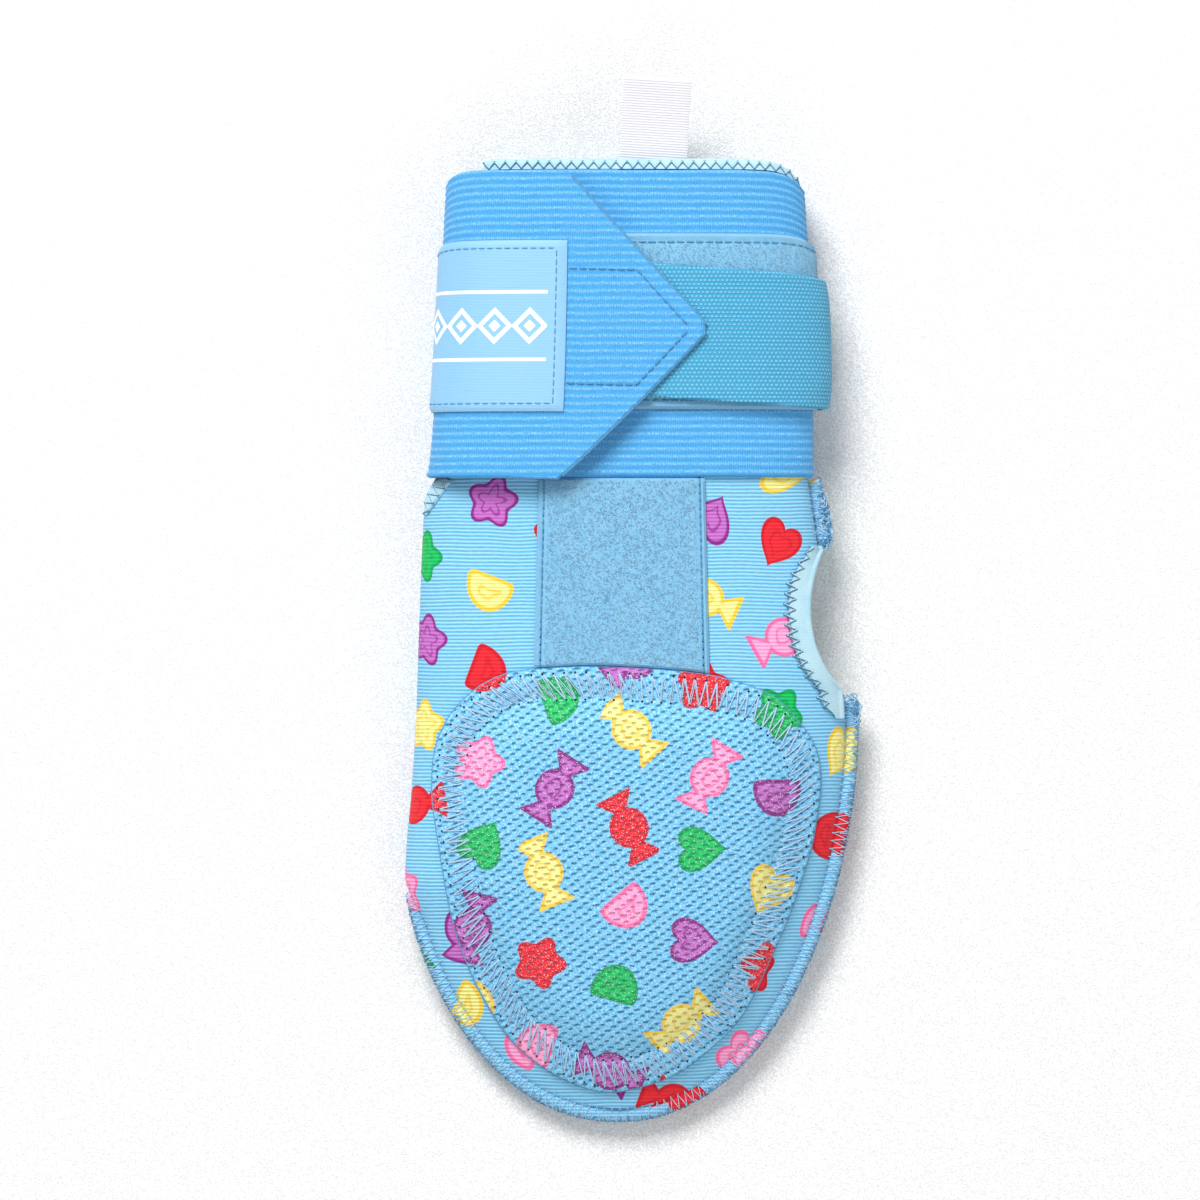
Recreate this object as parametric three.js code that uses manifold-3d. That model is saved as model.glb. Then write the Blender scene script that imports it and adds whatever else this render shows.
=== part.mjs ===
// A baseball sliding mitt: a hollow neoprene hand guard with a thumb opening and a padded back, closed
// round the wrist by a wide elastic band with a pointed end and by a narrow cinch strap. It lies palm
// down. +X is the thumb side, +Y the wrist and +Z up, in millimetres, with the origin under the middle of
// its overall box.

import * as THREE from "three";
import { mergeVertices } from "three/addons/utils/BufferGeometryUtils.js";
import Module from "manifold-3d";

// Overall sizes, in millimetres
const mittLength = 270; // toe seam to wrist hem
const handWidth = 128; // widest, over the knuckles, seam included
const handHeight = 30; // back of the hand above the table, without the pad
const wristHeight = 26; // shell at the wrist

// Walls, layers and the space between them
const neoprene = 3; // shell wall
const seamWidth = 3.6; // overlocked seam that stands out round the hand
const seamHalfHeight = 2.4; // half the thickness of the two panels at that seam
const seamBeadStand = 0.4; // how far the overlocked bead stands over those panels
const leastLip = 0.6; // least half height of the cross-section at its seam
const seamTaper = 12; // over which the seam runs out into the fold
const seamThinnest = 0.35; // where it ends, as a share of its width
const toeWelt = 8; // panels pressed together inside the toe seam
const toeBlunt = 0.4; // from the toe seam to the shell's blunt end
const hollowBlunt = 1; // from the welt to the hollow's blunt end
const clearance = 0.3; // between pieces that touch
const bandThickness = 1.6;
const loopTapeThickness = 2.0;
const strapThickness = 1.8;
const labelThickness = 0.8;
const hemThickness = 1.2;
const hemGap = 0.5; // under the thumb hem, where the panel curves away
const hemLip = 0.1; // least height of the hem's lip

// Wrist band and what is sewn to it
const bandWidth = 85.7;
const bandPointLength = 38.5; // from the full width to the tip
const bandTipX = 20.4; // tip, right of the centre line
const bandTipWidth = 2.4; // blunt end of the point
const bandTipDrop = 1.4; // how far the tip lies below the band's middle
const bandStartX = -41; // hidden inner end, on the back of the hand
const bandClimbFrom = 165; // degrees past the thumb side, where it starts to climb over its own start
const bandClimbTo = 238;
const loopTapeWidth = 49;
const loopTapeShift = 0.6; // from the band's middle towards the wrist
const loopTapeStartX = -31;
const loopTapeEndTurn = 20; // degrees past the thumb side
const strapWidth = 37.3;
const strapBulge = 1; // how far its middle stands out at the thumb side
const strapBulgeFrom = 57; // degrees either side of the thumb side
const strapBulgeTo = 11;
const strapStepFrom = 7; // degrees past the tape's end, where it steps down onto the band
const strapStepTo = 29;
const strapStartX = -15;
const strapEndTurn = 132; // degrees past the thumb side
const strapShift = 3.1; // from the band's middle towards the hand, where the strap comes out
const strapDrop = 2; // how much further it slants towards the hand by the thumb side
const labelWidth = 47.6;
const labelShift = 0.8; // from the band's middle towards the hand
const labelEndX = -17.6;
const labelEndTurn = 24; // degrees past the fold side, under the wrist

// Pieces on the hand
const padLength = 119.8;
const padWidth = 108.9;
const padCentreX = -1.4;
const padToeGap = 4.8; // from the toe seam's edge to the pad
const padRimThickness = 1.8;
const padThickness = 5;
const padRimWidth = 9; // stitched border
const padSlopeOut = 0.04; // where the slope to the border ends, as a share of the way from the pad's centre
const padSlopeIn = 0.12; // where it starts
const padCentreAlong = 0.52; // share of the pad's length
const patchWidth = 46.5; // at the wrist band
const patchPadWidth = 49; // at the pad
const patchCentreX = -2.7;
const patchThickness = 1.8;
const thumbHoleFrom = 119; // from the toe
const thumbHoleTo = 164;
const thumbHoleDepth = 10.2;
const thumbHoleLean = 0.78; // below 1 the deepest place lies nearer the toe
const thumbHoleFullness = 0.9; // below 1 its ends are steeper
const thumbHemWidth = 5;
const thumbHemNarrowFrom = 0.7; // share of the opening's length
const thumbHemNarrowing = 0.6; // share of the hem's width that is lost by the opening's end
const thumbHemTail = 5.4; // how far the hem runs on past the opening, inside the seam
const wristHemLength = 3;
const wristHemStand = 0.6; // how far the rolled wrist hem stands off the wall
const slitFrom = 171.4; // entry slit on the fold side, from the toe
const slitShoulder = { from: 179.2, x: -51.5 };
const slitTopX = -42;
const slitFloor = 0.46; // bottom of the slit, as a share of the hand's height
const mouthDip = 5; // how far the wrist's rim dips at its two sides
const mouthDipPower = 14; // how closely the dip keeps to those sides

// Pull tab, a ribbon folded in two
const tabWidth = 19;
const tabReach = 23; // past the wrist hem
const tabSewnLength = 9; // inside the wrist
const ribbonThickness = 0.7;
const tabGap = 0.7; // between the two plies
const tabCentreX = 5.3;
const tabLean = 3.5; // degrees, towards the thumb side

// Fineness of the facets
const girthSteps = 48;
const hollowSteps = 32;
const toeStations = 10;
const handStations = 11;
const bandColumns = 6;
const thumbHoleSteps = 22;
const padSpokes = 40;
const padRings = [0.55, 0.36, 0.18]; // shares of the way from the pad's centre to its edge
const seamStep = 6; // millimetres
const foldEdgeSteps = 16;
const thumbEdgeSteps = 22;

const halfWidth = handWidth / 2;
const wristEnd = mittLength - wristHemLength - clearance;
const bandTop = wristEnd;
const bandBottom = bandTop - bandWidth;
const bandMiddle = (bandTop + bandBottom) / 2;

// Layers over the shell, as the distance from the shell to the underside of each
const bandOffset = clearance;
const loopTapeOffset = bandOffset + bandThickness + clearance;
const strapOffset = loopTapeOffset + loopTapeThickness + clearance;
const bandOverlapOffset = strapOffset + strapThickness + clearance;
const strapPalmOffset = bandOffset + bandThickness + clearance;
const wristLift = strapPalmOffset + strapThickness;

// The outline of the mitt, seam included. The toe is a pair of curves from the tip, and the sides follow
// rows: at is a share of the mitt's length from the toe, left and right are shares of half the hand's
// width.
const toe = {
  tipX: -0.057,
  left: { length: 0.252, x: -0.994, rise: 1.49, bulge: 2.15 },
  right: { length: 0.419, x: 0.997, rise: 1.9, bulge: 2.1 },
};
const sideRows = [
  { at: 0.252, left: -0.994, right: 0.997 },
  { at: 0.295, left: -0.984, right: 0.997 },
  { at: 0.336, left: -0.967, right: 0.997 },
  { at: 0.419, left: -0.944, right: 0.997 },
  { at: 0.46, left: -0.938, right: 0.986 },
  { at: 0.502, left: -0.932, right: 0.962 },
  { at: 0.585, left: -0.919, right: 0.885 },
  { at: 0.61, left: -0.914, right: 0.868 },
  { at: 0.647, left: -0.904, right: 0.845 },
  { at: 0.68, left: -0.842, right: 0.826 },
  { at: 0.751, left: -0.815, right: 0.824 },
  { at: 0.854, left: -0.79, right: 0.812 },
  { at: 0.958, left: -0.77, right: 0.793 },
  { at: 1.02, left: -0.755, right: 0.775 },
];

// Heights of the shell: seam and crown are shares of the hand's height, palm is how high its underside
// floats as a share of the hand's height, and lift is the share of the wrist's lift over the strap below
// it. The round columns say how full each side is, from 1 for a plain slope to 2 for an oval.
const heightRows = [
  { at: 0.0, seam: 0.17, crown: 0.0, palm: 0.09, lift: 0, square: 2.1, foldRound: 1.3, seamRound: 1.3 },
  { at: 0.03, seam: 0.18, crown: 0.1, palm: 0.05, lift: 0, square: 2.1, foldRound: 1.3, seamRound: 1.3 },
  { at: 0.06, seam: 0.2, crown: 0.2, palm: 0.015, lift: 0, square: 2.2, foldRound: 1.3, seamRound: 1.3 },
  { at: 0.1, seam: 0.22, crown: 0.3, palm: 0.0, lift: 0, square: 2.3, foldRound: 1.35, seamRound: 1.3 },
  { at: 0.16, seam: 0.26, crown: 0.4, palm: 0.0, lift: 0, square: 2.4, foldRound: 1.5, seamRound: 1.3 },
  { at: 0.24, seam: 0.3, crown: 0.49, palm: 0.0, lift: 0, square: 2.5, foldRound: 1.8, seamRound: 1.35 },
  { at: 0.34, seam: 0.34, crown: 0.54, palm: 0.0, lift: 0, square: 2.6, foldRound: 2.0, seamRound: 1.5 },
  { at: 0.45, seam: 0.37, crown: 0.55, palm: 0.0, lift: 0, square: 2.8, foldRound: 2.0, seamRound: 1.9 },
  { at: 0.55, seam: 0.4, crown: 0.52, palm: 0.0, lift: 0, square: 3.0, foldRound: 2.0, seamRound: 2.2 },
  { at: 0.64, seam: 0.46, crown: 0.455, palm: 0.0, lift: 0.45, square: 3.0, foldRound: 2.0, seamRound: 2.2 },
  { at: 0.7, seam: 0, crown: 0, palm: 0, lift: 1, square: 3.0, foldRound: 2.0, seamRound: 2.0 },
];
const palmFlatness = 1.3; // how far the rounded underside is pressed flat by the table

// Half round of the seam bead: out is a share of its width, and up of its half height.
const beadProfile = [
  { out: 0, up: -0.8 },
  { out: 0.45, up: -1 },
  { out: 0.85, up: -0.6 },
  { out: 1, up: 0 },
  { out: 0.85, up: 0.6 },
  { out: 0.45, up: 1 },
  { out: 0, up: 0.8 },
];

// The pad's outline: along is a share of the pad's length from its toe end, across is a share of half its
// width.
const padOutline = [
  { along: 0.0, across: -0.105 },
  { along: 0.019, across: 0.121 },
  { along: 0.056, across: 0.306 },
  { along: 0.145, across: 0.532 },
  { along: 0.21, across: 0.635 },
  { along: 0.341, across: 0.769 },
  { along: 0.418, across: 0.841 },
  { along: 0.558, across: 0.943 },
  { along: 0.64, across: 0.979 },
  { along: 0.727, across: 1.0 },
  { along: 0.815, across: 0.969 },
  { along: 0.908, across: 0.815 },
  { along: 0.946, across: 0.686 },
  { along: 0.984, across: 0.378 },
  { along: 1.0, across: -0.136 },
  { along: 0.995, across: -0.445 },
  { along: 0.986, across: -0.599 },
  { along: 0.958, across: -0.743 },
  { along: 0.914, across: -0.856 },
  { along: 0.867, across: -0.933 },
  { along: 0.804, across: -0.985 },
  { along: 0.738, across: -1.0 },
  { along: 0.657, across: -0.99 },
  { along: 0.43, across: -0.907 },
  { along: 0.322, across: -0.835 },
  { along: 0.238, across: -0.753 },
  { along: 0.126, across: -0.599 },
  { along: 0.061, across: -0.434 },
  { along: 0.028, across: -0.311 },
];

// Degrees, shares and curves

const radians = (degrees) => (degrees * Math.PI) / 180;

const smooth = (from, to, value) => {
  const share = Math.min(1, Math.max(0, (value - from) / (to - from)));
  return share * share * (3 - 2 * share);
};

const mix = (a, b, share) => a + (b - a) * share;

// The columns of a table at a given place, along a curve through its rows that never overshoots them.
function rowAt(rows, at) {
  const last = rows.length - 1;
  const place = Math.min(rows[last].at, Math.max(rows[0].at, at));
  const next = rows.findIndex((row) => row.at > place);
  const i = next < 0 ? last - 1 : Math.max(0, next - 1);
  const found = {};
  const slope = (k, column) => (rows[k + 1][column] - rows[k][column]) / (rows[k + 1].at - rows[k].at);
  const tangent = (k, column) => {
    if (k === 0 || k === last) return slope(k === 0 ? 0 : last - 1, column);
    const before = slope(k - 1, column);
    const after = slope(k, column);
    return before * after <= 0 ? 0 : (2 * before * after) / (before + after);
  };
  const span = rows[i + 1].at - rows[i].at;
  const u = (place - rows[i].at) / span;
  for (const column of Object.keys(rows[0])) {
    const rise = (1 + 2 * u) * (1 - u) ** 2 * rows[i][column] + u * u * (3 - 2 * u) * rows[i + 1][column];
    const lean = u * (1 - u) ** 2 * tangent(i, column) - u * u * (1 - u) * tangent(i + 1, column);
    found[column] = rise + lean * span;
  }
  return found;
}

// The mitt's edge on one side, drawn in by toeInset at the toe and by sideInset along the side.
function edgeX(side, along, toeInset, sideInset) {
  const curve = toe[side];
  const sign = side === "left" ? -1 : 1;
  const length = curve.length * mittLength;
  if (along >= length) {
    return rowAt(sideRows, along / mittLength)[side] * halfWidth - sign * sideInset;
  }
  const share = Math.max(0, (along - toeInset) / (length - toeInset));
  const reach = curve.x * halfWidth - sign * sideInset - toe.tipX * halfWidth;
  return toe.tipX * halfWidth + reach * (1 - (1 - share) ** curve.rise) ** (1 / curve.bulge);
}

// The seam takes its width off the shell, all along the thumb side and round the toe to the fold.
const seamInset = (side, along) => {
  const foldStart = toe.left.length * mittLength;
  return side === "right" ? seamWidth : seamWidth * Math.min(1, Math.max(0, (foldStart - along) / seamTaper));
};

// The shell's cross-section at a place along the mitt, grown outwards by offset, or drawn in where it is
// negative.
function section(along, offset) {
  const rows = rowAt(heightRows, along / mittLength);
  const wrist = smooth(heightRows.at(-2).at * mittLength, heightRows.at(-1).at * mittLength, along);
  const handRows = rowAt(heightRows.slice(0, -1), along / mittLength);
  const wristSeam = wristLift + wristHeight / 2;
  const wristCrown = wristHeight / 2 - seamHalfHeight;
  const seam = mix(handRows.seam * handHeight, wristSeam, wrist);
  const crown = mix(handRows.crown * handHeight, wristCrown, wrist);
  const bottom = handRows.palm * handHeight + rows.lift * wristLift;
  const toeInset = seamWidth - offset + (offset < 0 ? toeWelt - neoprene : 0);
  const left = edgeX("left", along, toeInset, seamInset("left", along) - offset);
  const right = edgeX("right", along, toeInset, seamInset("right", along) - offset);
  const lip = Math.max(leastLip, seamHalfHeight + Math.min(0, offset));
  return {
    left,
    right,
    middle: (left + right) / 2,
    seam,
    lip,
    top: seam + seamHalfHeight + crown + offset,
    bottom: bottom - offset,
    square: rows.square,
    foldRound: rows.foldRound,
    seamRound: rows.seamRound,
  };
}

// A point of a cross-section at an angle from the thumb side, over the back of the hand to the fold and
// beneath.
function sectionPoint(s, angle, along, upper = Math.sin(angle) >= 0) {
  const cos = Math.cos(angle);
  const round = cos >= 0 ? s.seamRound : s.foldRound;
  const across = Math.abs(cos) ** (2 / s.square);
  const rise = Math.abs(Math.sin(angle)) ** (2 / round);
  const x = s.middle + (cos >= 0 ? s.right - s.middle : s.left - s.middle) * across;
  const dip = mouthDip * across ** mouthDipPower * smooth(bandMiddle, mittLength, along);
  const z = upper
    ? s.seam + s.lip + (s.top - s.seam - s.lip) * rise
    : s.seam - s.lip - (s.seam - s.lip - s.bottom) * Math.min(1, palmFlatness * rise);
  return new THREE.Vector3(x, along - dip, z);
}

// The angle at which a cross-section's back has a given x.
function backAngle(x, along, offset = 0) {
  const s = section(along, offset);
  const reach = x >= s.middle ? s.right - s.middle : s.left - s.middle;
  const share = Math.min(1, Math.max(0, (x - s.middle) / reach));
  const quarter = Math.acos(share ** (s.square / 2));
  return x >= s.middle ? quarter : Math.PI - quarter;
}

// A point on the back of the hand, raised by lift over the shell.
function backPoint(x, along, lift) {
  const s = section(along, 0);
  const reach = x >= s.middle ? s.right - s.middle : s.left - s.middle;
  const share = Math.min(1, Math.abs((x - s.middle) / reach));
  const round = x >= s.middle ? s.seamRound : s.foldRound;
  const rise = (1 - share ** s.square) ** (1 / round);
  return new THREE.Vector3(x, along, s.seam + s.lip + (s.top - s.seam - s.lip) * rise + lift);
}

// Closed meshes

function meshFrom(points, faces) {
  const geometry = new THREE.BufferGeometry().setFromPoints(points);
  let volume = 0;
  for (let i = 0; i < faces.length; i += 3) {
    const [a, b, c] = [points[faces[i]], points[faces[i + 1]], points[faces[i + 2]]];
    volume += a.dot(b.clone().cross(c));
  }
  if (volume < 0) faces.reverse();
  geometry.setIndex(faces);
  return geometry;
}

// A loft through rings of equal point counts, closed at both ends.
function loft(rings) {
  const count = rings[0].length;
  const points = rings.flat();
  const faces = [];
  for (let i = 0; i + 1 < rings.length; i++) {
    for (let j = 0; j < count; j++) {
      const next = (j + 1) % count;
      const [a, b, c, d] = [i * count + j, i * count + next, (i + 1) * count + next, (i + 1) * count + j];
      faces.push(a, b, c, a, c, d);
    }
  }
  for (const [ring, flip] of [[0, true], [rings.length - 1, false]]) {
    const centre = new THREE.Vector3();
    rings[ring].forEach((point) => centre.addScaledVector(point, 1 / count));
    points.push(centre);
    for (let j = 0; j < count; j++) {
      const pair = [ring * count + j, ring * count + ((j + 1) % count)];
      faces.push(points.length - 1, ...(flip ? pair.reverse() : pair));
    }
  }
  return meshFrom(points, faces);
}

// A sheet between two grids of points, closed all round its edges.
function sheet(inner, outer) {
  const rows = inner.length;
  const columns = inner[0].length;
  const points = [...inner.flat(), ...outer.flat()];
  const at = (i, j, side) => side * rows * columns + i * columns + j;
  const faces = [];
  const quad = (a, b, c, d) => faces.push(a, b, c, a, c, d);
  for (let i = 0; i + 1 < rows; i++) {
    for (let j = 0; j + 1 < columns; j++) {
      quad(at(i, j, 1), at(i, j + 1, 1), at(i + 1, j + 1, 1), at(i + 1, j, 1));
      quad(at(i, j, 0), at(i + 1, j, 0), at(i + 1, j + 1, 0), at(i, j + 1, 0));
    }
  }
  for (let i = 0; i + 1 < rows; i++) {
    quad(at(i, 0, 1), at(i + 1, 0, 1), at(i + 1, 0, 0), at(i, 0, 0));
    quad(at(i, columns - 1, 0), at(i + 1, columns - 1, 0), at(i + 1, columns - 1, 1), at(i, columns - 1, 1));
  }
  for (let j = 0; j + 1 < columns; j++) {
    quad(at(0, j, 0), at(0, j + 1, 0), at(0, j + 1, 1), at(0, j, 1));
    quad(at(rows - 1, j, 1), at(rows - 1, j + 1, 1), at(rows - 1, j + 1, 0), at(rows - 1, j, 0));
  }
  return meshFrom(points, faces);
}

const wasm = await Module();
wasm.setup();

function solidOf(geometry) {
  const bare = geometry.clone();
  bare.deleteAttribute("normal");
  bare.deleteAttribute("uv");
  const merged = mergeVertices(bare, 1e-4);
  const mesh = new wasm.Mesh({
    numProp: 3,
    vertProperties: merged.attributes.position.array,
    triVerts: new Uint32Array(merged.index.array),
  });
  return new wasm.Manifold(mesh);
}

function geometryOf(solid) {
  const mesh = solid.getMesh();
  const geometry = new THREE.BufferGeometry();
  geometry.setAttribute("position", new THREE.BufferAttribute(mesh.vertProperties, 3));
  return geometry.setIndex(new THREE.BufferAttribute(mesh.triVerts, 1));
}

// A cutter that stands up through the mitt from a given height, over an outline given as [x, along] pairs.
function cutter(outline, bottom) {
  const shape = new THREE.Shape(outline.map(([x, along]) => new THREE.Vector2(x, along)));
  const height = 2 * (handHeight + wristHeight);
  return new THREE.ExtrudeGeometry(shape, { depth: height, bevelEnabled: false }).translate(0, 0, bottom);
}

// The shell

const evenSteps = (from, to, count) => Array.from({ length: count + 1 }, (_, i) => mix(from, to, i / count));

// Angles that lie evenly round the wrist's girth, so that every layer bends at the same places. Both side
// edges have a step, so they get an angle just above and one just below.
function evenGirthAngles(steps) {
  const samples = 720;
  const edge = 1e-5;
  const s = section(bandMiddle, 0);
  const found = [];
  for (const start of [0, Math.PI]) {
    const ring = evenSteps(start + edge, start + Math.PI - edge, samples);
    const points = ring.map((angle) => sectionPoint(s, angle, bandMiddle));
    const run = [0];
    for (let i = 1; i <= samples; i++) run.push(run[i - 1] + points[i].distanceTo(points[i - 1]));
    for (const length of evenSteps(0, run[samples], steps / 2)) {
      const i = Math.max(1, run.findIndex((value) => value >= length - edge));
      const share = (length - run[i - 1]) / (run[i] - run[i - 1]);
      found.push(mix(ring[i - 1], ring[i], share));
    }
  }
  return found;
}
const girthAngles = evenGirthAngles(girthSteps);

function shellRings(offset, angles, from, to) {
  const toeEnd = toe.left.length * mittLength;
  const places = [
    ...evenSteps(0, 1, toeStations).map((share) => mix(from, toeEnd - seamTaper, share ** 1.8)),
    ...evenSteps(toeEnd, bandBottom, handStations),
    ...evenSteps(bandBottom, bandTop, bandColumns).slice(1, -1),
    to,
  ];
  return places.map((along) => {
    const s = section(along, offset);
    return angles.map((angle) => sectionPoint(s, angle, along));
  });
}

// How far the thumb opening cuts into the thumb side at a place along the mitt.
function thumbHoleCut(along) {
  const share = Math.min(1, Math.max(0, (along - thumbHoleFrom) / (thumbHoleTo - thumbHoleFrom)));
  return thumbHoleDepth * Math.sin(Math.PI * share ** thumbHoleLean) ** thumbHoleFullness;
}

const thumbHolePlaces = evenSteps(thumbHoleFrom, thumbHoleTo, thumbHoleSteps);

const thumbEdgeX = (along, inset) => edgeX("right", along, 0, thumbHoleCut(along) + inset);

function shellGeometry() {
  const outer = solidOf(loft(shellRings(0, girthAngles, seamWidth + toeBlunt, wristEnd)));
  const inside = evenGirthAngles(hollowSteps);
  const hollowToe = seamWidth + toeWelt + hollowBlunt;
  const hollow = solidOf(loft(shellRings(-neoprene, inside, hollowToe, wristEnd + neoprene)));
  const beyond = 2 * handWidth;
  const past = mittLength + neoprene;
  const thumbOutline = [
    [beyond, thumbHoleFrom],
    [beyond, thumbHoleTo],
    ...thumbHolePlaces.toReversed().map((along) => [thumbEdgeX(along, hemThickness + clearance), along]),
  ];
  const slitOutline = [
    [-beyond, slitFrom],
    [edgeX("left", slitFrom, 0, 0) - 1, slitFrom],
    [slitShoulder.x, slitShoulder.from],
    [slitTopX, past],
    [-beyond, past],
  ];
  const thumbHole = solidOf(cutter(thumbOutline, -handHeight / 2));
  const slit = solidOf(cutter(slitOutline, slitFloor * handHeight));
  return geometryOf(outer.subtract(hollow).subtract(thumbHole).subtract(slit));
}

// Layers wound round the wrist

// The angles of a winding that starts at one angle and runs down to another, past the thumb side.
function windingAngles(start, end) {
  const turn = 2 * Math.PI;
  const all = [-2, -1, 0].flatMap((k) => girthAngles.map((angle) => angle + k * turn));
  const margin = turn / girthSteps / 5;
  const between = all.filter((angle) => angle < start - margin && angle > end + margin);
  return [start, ...between.sort((a, b) => b - a), end];
}

// A strip wound round the wrist. lowAt and highAt give its edges at each angle, and offsetAt gives its
// underside at each angle and share of its width.
function winding(angles, thickness, offsetAt, lowAt, highAt, columns) {
  const grid = (extra) =>
    angles.map((angle) =>
      evenSteps(lowAt(angle), highAt(angle), columns).map((along, j) =>
        sectionPoint(section(along, offsetAt(angle, j / columns) + extra), angle, along),
      ),
    );
  return sheet(grid(0), grid(thickness));
}

const bandEndAngle = backAngle(bandTipX, bandMiddle, bandOverlapOffset) - 2 * Math.PI;

// The band climbs over its own start and over the tape and strap on the fold side.
const bandOffsetAt = (angle) =>
  mix(bandOffset, bandOverlapOffset, smooth(radians(bandClimbFrom), radians(bandClimbTo), -angle));

function wristBandGeometry() {
  const start = backAngle(bandStartX, bandMiddle);
  const shoulder = backAngle(bandTipX - bandPointLength, bandMiddle, bandOverlapOffset) - 2 * Math.PI;
  const angles = windingAngles(start, bandEndAngle);
  const withShoulder = [...angles.filter((angle) => Math.abs(angle - shoulder) > 0.02), shoulder];
  const overlap = section(bandMiddle, bandOverlapOffset);
  const xAt = (angle) => (angle < -Math.PI ? sectionPoint(overlap, angle, bandMiddle).x : -Infinity);
  const halfAt = (angle) => {
    const share = Math.max(0, (xAt(angle) - (bandTipX - bandPointLength)) / bandPointLength);
    return mix(bandWidth, bandTipWidth, share) / 2;
  };
  const middleAt = (angle) => bandMiddle - bandTipDrop * smooth(overlap.left, bandTipX, xAt(angle));
  return winding(
    withShoulder.sort((a, b) => b - a),
    bandThickness,
    bandOffsetAt,
    (angle) => middleAt(angle) - halfAt(angle),
    (angle) => middleAt(angle) + halfAt(angle),
    bandColumns,
  );
}

function bandLoopTapeGeometry() {
  const angles = windingAngles(backAngle(loopTapeStartX, bandMiddle), -radians(loopTapeEndTurn));
  const middle = bandMiddle + loopTapeShift;
  return winding(
    angles,
    loopTapeThickness,
    () => loopTapeOffset,
    () => middle - loopTapeWidth / 2,
    () => middle + loopTapeWidth / 2,
    4,
  );
}

function cinchStrapGeometry() {
  const start = backAngle(strapStartX, bandMiddle);
  const angles = windingAngles(start, -radians(strapEndTurn));
  const s = section(bandMiddle, 0);
  const slant = (angle) => {
    const x = angle >= 0 ? sectionPoint(s, angle, bandMiddle).x : s.right;
    return -strapShift - (strapDrop * (x - bandTipX)) / (s.right - bandTipX);
  };
  const bulgeAt = (angle, share) => {
    const near = smooth(-radians(strapBulgeFrom), -radians(strapBulgeTo), -Math.abs(angle));
    return strapBulge * near * (1 - (2 * share - 1) ** 4);
  };
  const stepFrom = radians(loopTapeEndTurn + strapStepFrom);
  const stepTo = radians(loopTapeEndTurn + strapStepTo);
  const offsetAt = (angle, share) =>
    mix(strapOffset, strapPalmOffset, smooth(stepFrom, stepTo, -angle)) + bulgeAt(angle, share);
  return winding(
    angles,
    strapThickness,
    offsetAt,
    (angle) => bandMiddle + slant(angle) - strapWidth / 2,
    (angle) => bandMiddle + slant(angle) + strapWidth / 2,
    4,
  );
}

function labelGeometry() {
  const end = backAngle(labelEndX, bandMiddle, bandOverlapOffset) - 2 * Math.PI;
  const angles = windingAngles(-Math.PI + radians(labelEndTurn), end);
  const middle = bandMiddle - labelShift;
  return winding(
    angles,
    labelThickness,
    (angle) => bandOffsetAt(angle) + bandThickness + clearance,
    () => middle - labelWidth / 2,
    () => middle + labelWidth / 2,
    2,
  );
}

// Rolled hem round the wrist's edge, from the slit over the back and round the thumb side to the palm.
function wristHemGeometry() {
  const from = wristEnd + clearance;
  const places = [from, from + wristHemLength];
  const start = backAngle(slitTopX + hemThickness, wristEnd);
  const angles = windingAngles(start, -start);
  const grid = (offset) =>
    angles.map((angle) => places.map((along) => sectionPoint(section(along, offset), angle, along)));
  return sheet(grid(-neoprene - wristHemStand), grid(wristHemStand));
}

// Pieces on the hand

function padOutlineCurve() {
  const base = seamWidth + padToeGap;
  const points = padOutline.map(
    (row) => new THREE.Vector3(padCentreX + (row.across * padWidth) / 2, base + row.along * padLength, 0),
  );
  return new THREE.CatmullRomCurve3(points, true, "centripetal");
}

function backPadGeometry() {
  const outline = padOutlineCurve().getSpacedPoints(padSpokes).slice(0, -1);
  const centre = new THREE.Vector3(padCentreX, seamWidth + padToeGap + padCentreAlong * padLength, 0);
  const rim = 1 - padRimWidth / (padWidth / 2);
  const shares = [1, (1 + rim) / 2, rim, rim - padSlopeIn, ...padRings];
  const thicknessAt = (share) =>
    mix(padThickness, padRimThickness, smooth(rim - padSlopeIn, rim + padSlopeOut, share));
  const ringAt = (share, thickness) =>
    outline.map((point) => {
      const x = mix(centre.x, point.x, share);
      const along = mix(centre.y, point.y, share);
      return backPoint(x, along, clearance + thickness);
    });
  const under = shares.map((share) => ringAt(share, 0)).reverse();
  const over = shares.map((share) => ringAt(share, thicknessAt(share)));
  return loft([...under, ...over]);
}

// The pad's wrist edge at a given x, for what stops against it.
function padTopAt(x) {
  const outline = padOutlineCurve().getSpacedPoints(400);
  const near = outline.filter((point) => point.y > seamWidth + padToeGap + 0.7 * padLength);
  near.sort((a, b) => Math.abs(a.x - x) - Math.abs(b.x - x));
  return near[0].y;
}

function handLoopPatchGeometry() {
  const grid = (thickness) =>
    evenSteps(-0.5, 0.5, 6).map((across) => {
      const from = padTopAt(patchCentreX + across * patchPadWidth) + clearance;
      const to = bandBottom - clearance;
      return evenSteps(0, 1, 6).map((share) => {
        const x = patchCentreX + across * mix(patchPadWidth, patchWidth, share);
        return backPoint(x, mix(from, to, share), clearance + thickness);
      });
    });
  return sheet(grid(0), grid(patchThickness));
}

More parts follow.
